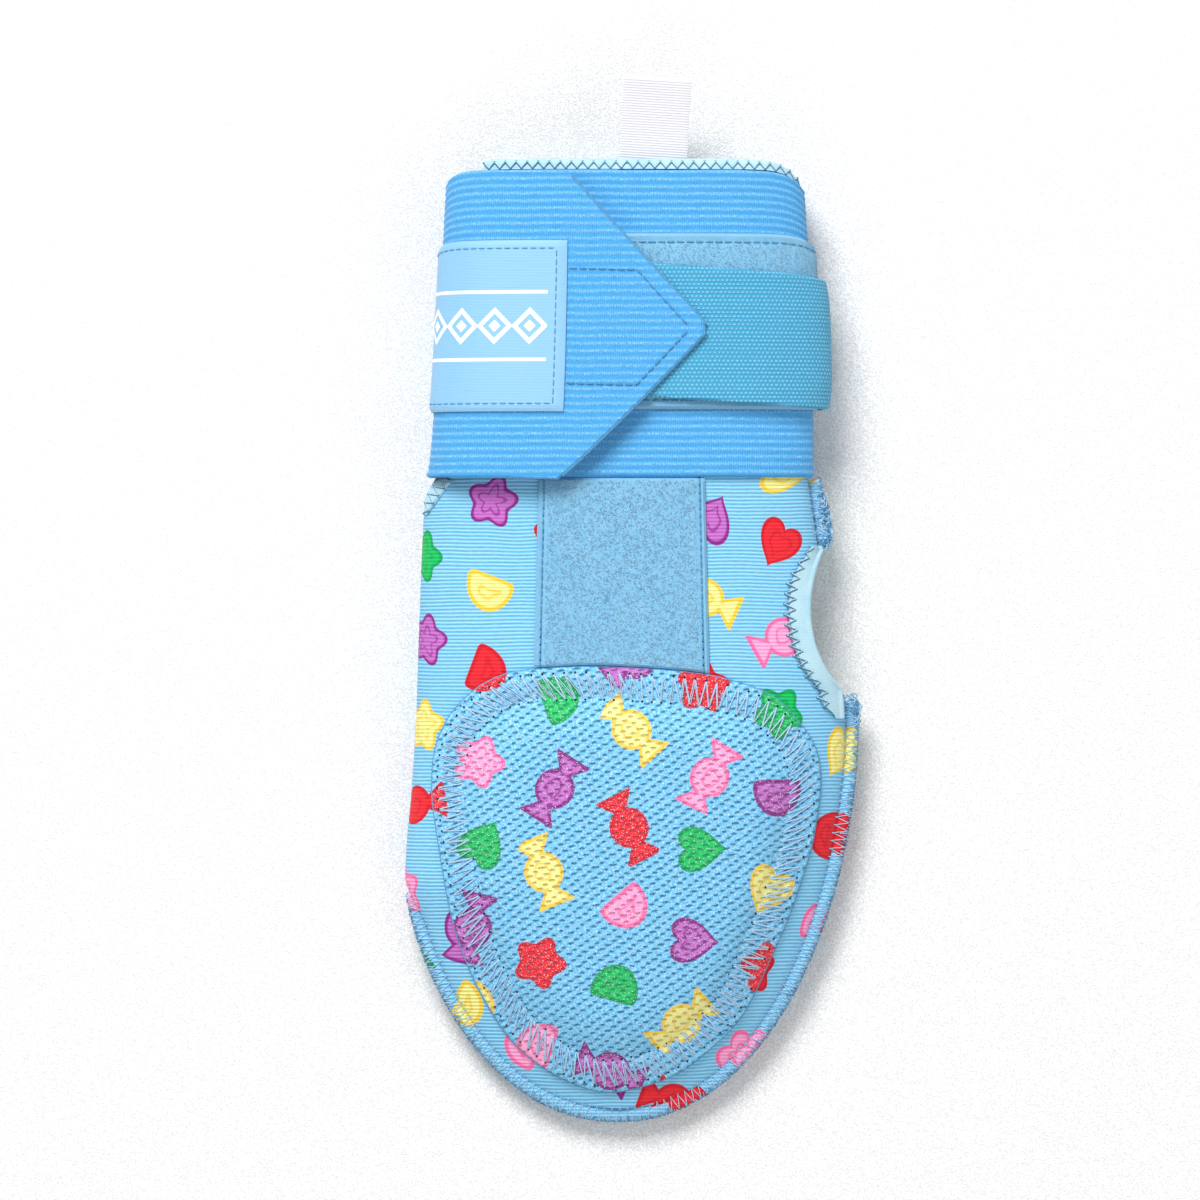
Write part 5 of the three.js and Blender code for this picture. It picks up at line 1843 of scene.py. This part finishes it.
@dataclass
class WristBand(Piece):
    """The wide ribbed elastic band, its loop tape, the cinch strap and the label."""

    slot = "band_elastic"

    point_length: float = 38.5
    tip_x: float = 20.4
    tip_width: float = 2.4
    tip_drop: float = 1.4
    start_x: float = -41.0
    rib_pitch: float = 2.1
    ridge: float = 0.16
    tape_width: float = 49.0
    tape_shift: float = 0.6
    tape_border: float = 2.4
    tape_start_x: float = -31.0
    tape_end_turn: float = 20.0
    strap_width: float = 37.3
    strap_start_x: float = -15.0
    strap_end_turn: float = 132.0
    strap_shift: float = 3.1
    strap_drop: float = 2.0
    strap_bulge: float = 1.0
    label_width: float = 47.6
    label_thickness: float = 0.8
    label_end_x: float = -17.6
    label_end_turn: float = 24.0
    label_drop: float = 0.8
    label_border: float = 2.2
    climb_from: float = 165.0
    climb_to: float = 238.0
    line_in: float = 3.6
    line_half: float = 16.0
    line_start_x: float = -17.0
    line_bend_x: float = -1.0
    slant: float = 1.42
    step: float = 1.2
    band_step: float = 2.2
    point_step: float = 1.0
    strap_drop_from: float = 0.12
    strap_drop_to: float = 0.5
    strap_rows: int = 38

    def __post_init__(self) -> None:
        """Lay out the four windings."""
        self.band = self.lay_band()
        self.tape = self.lay_tape()
        self.strap = self.lay_strap()
        self.label = self.lay_label()

    def band_rise(self, angle: Array, _share: Array | float = 0) -> Array:
        """Give the band's distance from the shell as it climbs over its own start."""
        share = ease(math.radians(self.climb_from), math.radians(self.climb_to), -angle)
        return blend(FORM.clearance, FORM.overlap_offset, share)

    def overlap_x(self, angle: Array) -> Array:
        """Give x on the band's outer turn, or far left on its inner one."""
        x = FORM.point(angle, FORM.band_middle, FORM.overlap_offset)[..., 0]
        return np.where(angle < -math.pi, x, -1e3)

    def half_width(self, angle: Array) -> Array:
        """Give half the band's width, which narrows to the point."""
        share = np.clip((self.overlap_x(angle) - (self.tip_x - self.point_length)) / self.point_length, 0, 1)
        return blend(FORM.band_width, self.tip_width, share) / 2

    def middle(self, angle: Array) -> Array:
        """Give the band's middle, which drops towards the point."""
        left = float(FORM.section(np.array(FORM.band_middle), FORM.overlap_offset)["left"])
        return FORM.band_middle - self.tip_drop * ease(left, self.tip_x, self.overlap_x(angle))

    def angle_at(self, x: float) -> float:
        """Give the outer turn's angle at a given x on the back of the hand."""
        return FORM.back_angle(x, FORM.band_middle, FORM.overlap_offset) - TURN

    def lay_band(self) -> Winding:
        """Lay out the band from its hidden start to its point."""
        start = FORM.back_angle(self.start_x, FORM.band_middle)
        shoulder = self.angle_at(self.tip_x - self.point_length)
        point = FORM.even_angles(shoulder, self.angle_at(self.tip_x), self.point_step)
        angles = np.concatenate([FORM.even_angles(start, shoulder, self.band_step), point[1:]])
        return Winding(angles, FORM.band_thickness, self.band_rise, self.middle, self.half_width)

    def lay_tape(self) -> Winding:
        """Lay out the loop tape on the band."""
        start = FORM.back_angle(self.tape_start_x, FORM.band_middle)
        return Winding(
            FORM.even_angles(start, -math.radians(self.tape_end_turn), self.step),
            FORM.tape_thickness,
            lambda angle, share: np.full_like(angle, FORM.tape_offset),
            constant(FORM.band_middle + self.tape_shift),
            constant(self.tape_width / 2),
        )

    def lay_strap(self) -> Winding:
        """Lay out the cinch strap, round the thumb side and under the wrist."""
        start = FORM.back_angle(self.strap_start_x, FORM.band_middle)
        right = float(FORM.section(np.array(FORM.band_middle))["right"])
        end = math.radians(self.tape_end_turn)

        def middle(angle: Array) -> Array:
            """Give the strap's middle, which drops towards the thumb side."""
            x = np.where(angle >= 0, FORM.point(angle, FORM.band_middle)[..., 0], right)
            drop = self.strap_drop * (x - self.tip_x) / (right - self.tip_x)
            return FORM.band_middle - self.strap_shift - drop

        def offset(angle: Array, share: Array) -> Array:
            """Give the strap's distance from the shell."""
            bulge = self.strap_bulge * ease(-1, -0.2, -np.abs(angle)) * (1 - (2 * share - 1) ** 4)
            share = ease(end + self.strap_drop_from, end + self.strap_drop_to, -angle)
            return blend(FORM.strap_offset, FORM.tape_offset, share) + bulge

        return Winding(
            FORM.even_angles(start, -math.radians(self.strap_end_turn), self.step),
            FORM.strap_thickness,
            offset,
            middle,
            constant(self.strap_width / 2),
        )

    def lay_label(self) -> Winding:
        """Lay out the label on the band's outer turn."""
        start = -math.pi + math.radians(self.label_end_turn)
        return Winding(
            FORM.even_angles(start, self.angle_at(self.label_end_x), self.step),
            self.label_thickness,
            lambda angle, share: self.band_rise(angle) + FORM.band_thickness + FORM.clearance,
            constant(FORM.band_middle - self.label_drop),
            constant(self.label_width / 2),
        )

    def build(self) -> None:
        """Build the four strips and their stitching."""
        self.build_band()
        self.build_tape()
        self.build_strap()
        self.build_label()

    def build_band(self) -> None:
        """Build the ribbed band and the stitching of its point."""
        ribs = round(FORM.band_width / self.rib_pitch)
        shares = rib_shares(ribs, (0.0, 0.25, 0.5, 0.75))
        pitch = FORM.band_width / ribs

        def relief(run: Array, along: Array, angle: Array) -> Array:
            """Give the face's relief."""
            place = (along - FORM.band_bottom) / pitch
            ridge = groove(place - np.floor(place) - 0.5, self.ridge, 0.2)
            return ridge * (self.half_width(angle) > FORM.band_width / 2 - 1e-6) - self.ridge

        strip = self.band.sheet(shares, relief)
        obj = self.lay(strip, "wrist_band_elastic", BAND, "wrist_band")
        length = float(self.band.runs()[-1])
        self.stitch_point()

    def point_line(self) -> list[Array]:
        """Give the stitched line that follows the point, as two paths that meet at its tip."""
        inset = self.slant * self.line_in
        straight = np.linspace(self.line_start_x, self.line_bend_x, 30)
        xs = np.concatenate([straight, np.linspace(self.line_bend_x, self.tip_x - inset, 80)[1:]])
        angles = np.array([self.angle_at(float(x)) for x in xs])
        reach = np.clip((self.tip_x - xs) / self.point_length, 0, 1) * FORM.band_width / 2 - inset
        half = np.minimum(np.maximum(reach, 0), self.line_half)
        width = self.band.high(angles) - self.band.low(angles)
        return [self.band.top(angles, 0.5 + sign * half / width, 0.1) for sign in (1, -1)]

    def stitch_point(self) -> None:
        """Sew the line round the point and fold its edge."""
        lines = [line for path in self.point_line() for line in stitches(path, 2.6, 0.6)]
        self.sew("band_point_stitches", lines, 0.2, BLUE_THREAD)
        edges = []
        for side in (0.0, 1.0):
            angles = self.band.angles[self.band.angles < self.angle_at(self.tip_x - self.point_length)]
            edges.append(self.band.point(angles, np.full_like(angles, side), FORM.band_thickness * 0.45))
        self.sew("band_point_edges", edges, 0.55, BLUE_THREAD, 6)

    def build_tape(self) -> None:
        """Build the loop tape and its pile."""
        shares = np.linspace(0, 1, 60)

        def relief(run: Array, along: Array, angle: Array) -> Array:
            """Give the face's relief."""
            side = self.tape_width / 2 - np.abs(along - FORM.band_middle - self.tape_shift)
            return lumps(run, along) - 0.35 - groove(side - self.tape_border, 0.4, 0.7)

        strip = self.tape.sheet(shares, relief)
        obj = self.lay(strip, "band_loop_ground", PILE, "band_loop_tape", "loop_pile")
        size = (self.tape_width * MM, float(self.tape.runs()[-1]) * MM)
        inside = strip.outer[:, 3:-3]
        self.keep(self.tools.pile("band_loop_pile", inside, 6600, 31, BLUE_FIBRE, 0.3), "loop_pile")
        # Painted glints: a scatter of near-white loops over the pile.
        self.keep(self.tools.pile("band_loop_glints", inside, 4200, 32, PAINTED_GLINT_FIBRE, 0.22), "loop_pile")
        lines = []
        for share in (self.tape_border / self.tape_width, 1 - self.tape_border / self.tape_width):
            path = self.tape.top(self.tape.angles, np.full_like(self.tape.angles, share), -0.45)
            lines.extend(stitches(path, 2.6, 0.7))
        self.sew("band_loop_stitches", lines, 0.2, BLUE_THREAD, slot="loop_pile")

    def build_strap(self) -> None:
        """Build the cinch strap."""
        shares = rib_shares(self.strap_rows, (0.0, 0.35, 0.7))

        def relief(run: Array, along: Array, angle: Array) -> Array:
            """Give the face's relief."""
            return 0.05 * np.sin(along * TURN / 0.98) - 0.05

        strip = self.strap.sheet(shares, relief)
        obj = self.lay(strip, "cinch_strap_elastic", STRAP, "cinch_strap", "strap_elastic")
        size = (self.strap_width * MM, float(self.strap.runs()[-1]) * MM)

    def build_label(self) -> None:
        """Build the satin label and its stitched border."""
        shares = np.linspace(0, 1, 50)
        strip = self.label.sheet(shares)
        runs = self.label.runs()
        strip.flat[..., 1] -= FORM.band_middle - self.label_drop - self.label_width / 2
        satin = replace(LABEL, width=self.label_width, length=float(runs[-1]))
        obj = self.lay(strip, "label_satin", satin, "label_patch", "satin_label")
        inset = self.label_border
        angles = self.label.angles
        low, high = inset / self.label_width, 1 - inset / self.label_width
        inner = angles[(runs > inset) & (runs < runs[-1] - inset)]
        across = np.linspace(low, high, 40)
        sides = [(inner, low), (inner, high), (inner[-1], across), (inner[0], across)]
        paths = [self.label.top(angle, share, 0.06) for angle, share in sides]
        lines = [line for path in paths for line in stitches(path, 2.4, 0.7, 0.08)]
        self.sew("label_stitches", lines, 0.17, BLUE_THREAD, slot="satin_label")


@dataclass
class Hems(Piece):
    """The rolled lining hems at the thumb opening, the wrist and the slit."""

    slot = "lining"

    thumb_width: float = 5.0
    tail: float = 5.4
    gap: float = 0.5
    stand: float = 0.6
    zigzag_pitch: float = 3.2
    thumb_pitch: float = 3.0
    thumb_short: float = 2.0
    roll_out: float = 0.15
    fold_drop: float = 0.05
    tuck: float = 0.5
    corner_out: float = 1.24
    corner_in: float = 0.6
    wrist_thickness: float = 0.9
    wrist_step: float = 1.5
    slit_rise: float = 1.1
    slit_legs: int = 9

    def hole_edge(self, along: Array) -> tuple[Array, Array]:
        """Give how far in the thumb hem starts at least, and how deep the opening is."""
        low_half = along < (FORM.thumb_from + FORM.thumb_to) / 2
        seam = FORM.seam_width
        least = np.where(low_half, seam + FORM.clearance, seam - FORM.hem_thickness - FORM.clearance)
        return least, np.where(along > FORM.thumb_from, FORM.thumb_cut(along), 0)

    def thumb_points(self, along: Array, share: Array, lift: float) -> Array:
        """Give points on the thumb hem's leaf.

        Args:
            along: Places along the mitt.
            share: 0 at the opening's edge, 1 at the leaf's raw edge.
            lift: Height over the leaf's underside.

        Returns:
            Points in millimetres.
        """
        cut = np.maximum(*self.hole_edge(along))
        end = ease(blend(FORM.thumb_from, FORM.thumb_to, 0.7), FORM.thumb_to, along)
        tail = FORM.thumb_from - self.tail
        width = self.thumb_width * (1 - 0.6 * end) * (0.25 + 0.75 * ease(tail, tail + 5, along))
        inset = cut + FORM.hem_thickness + FORM.clearance + share * width
        return FORM.back(FORM.edge_x(Side.THUMB, along, 0, inset), along, self.gap + lift)

    def zigzag(self, name: str, legs: Sequence[Array], holes: Array) -> None:
        """Sew a hem's zigzag: a thread with a dark thread beside and under it as its painted shadow line, and
        dark needle holes at its corners.

        Args:
            name: The hem's name.
            legs: The stitches' points.
            holes: The corners' points.
        """
        self.sew(name + "_zigzag", [leg + (0.0, 0.16, 0.1) for leg in legs], 0.16, LINING_THREAD)
        # Painted shadow: a dark thread just under and beside the zigzag's thread.
        self.sew(name + "_under", [leg - (0.0, 0.16, 0.08) for leg in legs], 0.18, SHADOW_AND_HOLE_DARK)
        self.prick(name + "_needle_holes", holes + (0.0, 0.0, 0.02), 0.42, SHADOW_AND_HOLE_DARK)

    def build_thumb(self) -> None:
        """Build the thumb hem: a leaf on the panel and a soft roll over its cut edge."""
        thick, out = FORM.hem_thickness, self.roll_out
        along = np.linspace(FORM.thumb_from - self.tail, FORM.thumb_to - self.thumb_short, 90)
        least, hole = self.hole_edge(along)
        drop = FORM.wall * ease(least, least + FORM.wall, hole)
        level = np.zeros_like(along)
        leaf, under = [], []
        for share in np.linspace(1, 0, 12):
            height = thick * float(rounded(np.array((1 - share) * self.thumb_width), 0.8, 0.3))
            leaf.append(self.thumb_points(along, level + share, height))
            under.append(self.thumb_points(along, level + share, 0.0))
        edge = under[-1]
        for turn in np.linspace(0.25, 1, 4) * math.pi / 2:
            leaf.append(edge + ((thick + out) * math.sin(turn), 0, thick * math.cos(turn)))
            under.append(edge + (out * math.sin(turn), 0, -self.fold_drop))
        for share in np.linspace(0.3, 1, 4):
            down = -(drop * share + self.fold_drop)
            leaf.append(edge + stack(level + (thick + out - self.tuck * share**2), level, down))
            under.append(edge + stack(level + out, level, down))
        outer, inner = np.stack(leaf, axis=1), np.stack(under, axis=1)
        run = run_across(outer)
        flat = stack(run, np.broadcast_to(along[:, None], run.shape))
        hem = self.lay(Sheet(outer, inner, flat), "thumb_hem_roll", LINING, "thumb_hem")
        self.sew_thumb(along)

    def sew_thumb(self, along: Array) -> None:
        """Sew the thumb hem's zigzag, whose legs lap over the leaf's raw edge."""
        count = round(np.ptp(along) / (self.thumb_pitch / 2))
        places = np.linspace(along[0] + 3.0, along[-1] - 0.5, count)
        corners = np.where(np.arange(count) % 2 == 0, self.corner_out, self.corner_in)
        part = np.linspace(0, 1, 11)
        legs = []
        for k in range(count - 1):
            share = blend(corners[k], corners[k + 1], part)
            rise = blend(FORM.hem_thickness + 0.12, 0.15 - self.gap, ease(1.02, 1.14, share))
            legs.append(self.thumb_points(blend(places[k], places[k + 1], part), share, rise))
        self.zigzag("thumb_hem", legs, self.thumb_points(places[::2], corners[::2], 0.1 - self.gap))

    def build_wrist(self) -> None:
        """Build the wrist's rolled hem and its zigzag."""
        start = FORM.back_angle(Shell.slit_top_x + FORM.hem_thickness, FORM.wrist_end)
        angles = FORM.even_angles(start, -start, self.wrist_step)
        first = FORM.wrist_end + FORM.clearance
        outside, inside = self.stand, -FORM.wall - self.stand
        half, middle = (outside - inside) / 2, (outside + inside) / 2
        leaves = []
        for depth in (0.0, self.wrist_thickness):
            rows = []
            for turn in np.linspace(0, math.pi, 9):
                along = first + (FORM.hem_length - depth) * max(0.0, math.sin(turn)) ** 0.6
                rows.append(FORM.point(angles, along, middle + (half - depth) * math.cos(turn)))
            leaves.append(np.stack(rows, axis=1))
        steps = np.linalg.norm(np.diff(leaves[0], axis=1), axis=2).mean(axis=0)
        run = np.concatenate([[0], np.cumsum(steps)])[None, :] * np.ones((len(angles), 1))
        round_wrist = np.arange(len(angles))[:, None] * self.wrist_step
        flat = stack(run, np.broadcast_to(round_wrist, run.shape))
        hem = self.lay(Sheet(*leaves, flat), "wrist_hem_roll", LINING, "wrist_hem")
        places = FORM.even_angles(start, 0.05, self.zigzag_pitch / 2)
        ends = (first + 0.3, first + 2.1)
        part = np.linspace(0, 1, 5)
        legs = []
        for k in range(len(places) - 1):
            along = blend(*(ends if k % 2 else ends[::-1]), part)
            line = FORM.point(blend(places[k], places[k + 1], part), along, self.stand)
            line[:, 2] += 0.12
            legs.append(line)
        self.zigzag("wrist_hem", legs, np.array([line[0] for line in legs]))

    def build_slit(self) -> None:
        """Build the strip of hemmed lining that shows at the slit's corner."""
        fold = float(FORM.edge_x(Side.FOLD, np.array(Shell.slit_from)))
        corner = np.array([fold + 0.3, Shell.slit_from - 0.6])
        shoulder = np.array(Shell.slit_shoulder) + (0.6, 0.9)
        share = np.linspace(0, 1, 24)
        across = np.linspace(0, 1, 7)
        run = shoulder - corner
        normal = np.array([-run[1], run[0]]) / np.linalg.norm(run)
        reach = 0.7 + 3.6 * np.sin(math.pi * np.clip(share * 0.86 + 0.04, 0, 1)) ** 0.8

        def spot(at: Array, out: Array) -> Array:
            """Give flat places on the strip, kept inside the fold."""
            place = corner + run * at[..., None] + normal * out[..., None] - normal * 0.6
            limit = FORM.edge_x(Side.FOLD, place[..., 1])
            return stack(np.maximum(place[..., 0], limit), place[..., 1])

        at, side = np.meshgrid(share, across, indexing="ij")
        flat = spot(at, side * reach[:, None])
        thick = self.slit_rise * rounded(np.minimum(side, 1 - side) * reach[:, None], 0.9, 0.3)
        outer = FORM.back(flat[..., 0], flat[..., 1], 0.1 + thick)
        inner = FORM.back(flat[..., 0], flat[..., 1], 0.05)
        strip = self.lay(Sheet(outer, inner, flat), "slit_hem_roll", LINING)
        half_area(strip.data)
        part = np.linspace(0, 1, 5)
        legs = []
        for k in range(self.slit_legs):
            ends = (0.15, 0.75) if k % 2 else (0.75, 0.15)
            there = (k + part) / self.slit_legs
            place = spot(there, blend(*ends, part) * np.interp(there, share, reach))
            legs.append(FORM.back(place[:, 0], place[:, 1], 1.25))
        self.zigzag("slit_hem", legs, np.array([line[0] for line in legs]))

    def build(self) -> None:
        """Build the three hems."""
        self.build_thumb()
        self.build_wrist()
        self.build_slit()


@dataclass
class PullTab(Piece):
    """The folded grosgrain ribbon at the wrist."""

    slot = "ribbon"

    width: float = 19.0
    reach: float = 23.0
    sewn: float = 9.0
    ribbon: float = 0.7
    gap: float = 0.7
    centre_x: float = 5.3
    lean: float = 3.5

    def build(self) -> None:
        """Build the ribbon as one strip that turns back on itself."""
        middle = (self.gap + self.ribbon) / 2
        bend = self.sewn + FORM.hem_length + self.reach - self.ribbon - self.gap / 2
        straight = np.linspace(0, bend, 30)
        turns = np.linspace(-math.pi / 2, math.pi / 2, 14)[1:-1]
        low = stack(straight, np.full(30, -middle))
        curve = stack(bend + middle * np.cos(turns), middle * np.sin(turns))
        high = stack(np.linspace(bend, 0, 30), np.full(30, middle))
        path = np.concatenate([low, curve, high])
        normal = side_normals(np.gradient(path, axis=0))
        across = np.linspace(-0.5, 0.5, 30) * self.width
        edge = rounded(self.width / 2 - np.abs(across), 0.5, 0.4)
        ceiling = float(FORM.point(math.pi / 2, FORM.length, -FORM.wall - Hems.stand)[2])
        height = ceiling - FORM.clearance - self.ribbon - self.gap / 2
        base = FORM.length - FORM.hem_length - self.sewn
        lean = -math.radians(self.lean)

        def grid(side: float) -> Array:
            """Give one face of the ribbon."""
            face = path[:, None, :] + side * self.ribbon / 2 * normal[:, None, :] * edge[:, None]
            along, z = face[..., 0], face[..., 1]
            x = np.broadcast_to(across, along.shape)
            turned_x = x * math.cos(lean) - along * math.sin(lean)
            turned_y = x * math.sin(lean) + along * math.cos(lean)
            return stack(self.centre_x + turned_x, base + turned_y, height + z)

        run = run_along(path)
        flat = stack(*np.broadcast_arrays(across[None, :], run[:, None]))
        tab = self.lay(Sheet(grid(1), grid(-1), flat), "pull_tab_ribbon", RIBBON, "pull_tab")


@dataclass(frozen=True)
class Lamp:
    """A soft square light: its place and width in metres, and its power in watts."""

    name: str
    place: tuple[float, float, float]
    size: float
    power: float


@dataclass
class Studio:
    """The pale floor, the soft lights and the camera, with sizes in metres."""

    distance: float = 2.6
    aim_height: float = 0.02
    middle_pixel: float = 631.5
    sensor: float = 36
    floor_half: float = 4.0
    floor_drop: float = 0.0002
    sky: float = 0.36
    lamps: tuple[Lamp, ...] = (
        Lamp("key", (-0.8, 2.1, 2.3), 1.4, 112),
        Lamp("fill", (2.0, -0.7, 2.6), 2.4, 22),
        Lamp("front", (-0.4, -2.0, 2.4), 2.0, 19),
    )

    def __post_init__(self) -> None:
        """Find the middle of the view."""
        x = (PHOTO_PIXELS / 2 - self.middle_pixel) * MM_PER_PIXEL * MM
        self.middle = Vector((x, 0.0, self.aim_height))

    def build(self) -> None:
        """Build the floor, the camera and the lights."""
        self.build_floor()
        self.build_camera()
        for lamp in self.lamps:
            self.hang(lamp)
        world = bpy.data.worlds.new("studio")
        world.use_nodes = True
        background = world.node_tree.nodes["Background"].inputs
        background["Color"].default_value = (1.0, 1.0, 1.0, 1.0)
        background["Strength"].default_value = self.sky
        bpy.context.scene.world = world
        bpy.context.scene.view_settings.view_transform = "Standard"

    def build_floor(self) -> None:
        """Build the floor just under the mitt."""
        half = self.floor_half
        mesh = bpy.data.meshes.new("floor")
        corners = [(x * half, y * half, -self.floor_drop) for x, y in ((-1, -1), (1, -1), (1, 1), (-1, 1))]
        mesh.from_pydata(corners, [], [(0, 1, 2, 3)])
        add_object(mesh, FLOOR)

    def build_camera(self) -> None:
        """Build the camera straight above the back of the hand."""
        data = bpy.data.cameras.new("camera")
        data.sensor_width = self.sensor
        data.lens = data.sensor_width * self.distance / (PHOTO_PIXELS * MM_PER_PIXEL * MM)
        camera = bpy.data.objects.new("camera", data)
        camera.location = self.middle + Vector((0, 0, self.distance))
        bpy.context.scene.collection.objects.link(camera)
        bpy.context.scene.camera = camera

    def hang(self, lamp: Lamp) -> None:
        """Hang a light that points at the mitt."""
        data = bpy.data.lights.new(lamp.name, "AREA")
        data.size = lamp.size
        data.energy = lamp.power
        light = bpy.data.objects.new(lamp.name, data)
        aim = (self.middle - Vector(lamp.place)).to_track_quat("-Z", "Y")
        light.matrix_world = Matrix.Translation(lamp.place) @ aim.to_matrix().to_4x4()
        bpy.context.scene.collection.objects.link(light)


def main() -> None:
    """Build the mitt piece by piece."""
    Studio().build()
    tools = NodeTools()
    pad = BackPad(tools)
    pieces = [Shell(tools), OverlockedSeam(tools), pad, HandLoopPatch(tools, pad)]
    for piece in [*pieces, WristBand(tools), Hems(tools), PullTab(tools)]:
        piece.build()
        LOG.info("%s: %d objects", type(piece).__name__, len(piece.made))


if __name__ == "__main__":
    logging.basicConfig(level=logging.INFO, format="%(message)s")
    main()
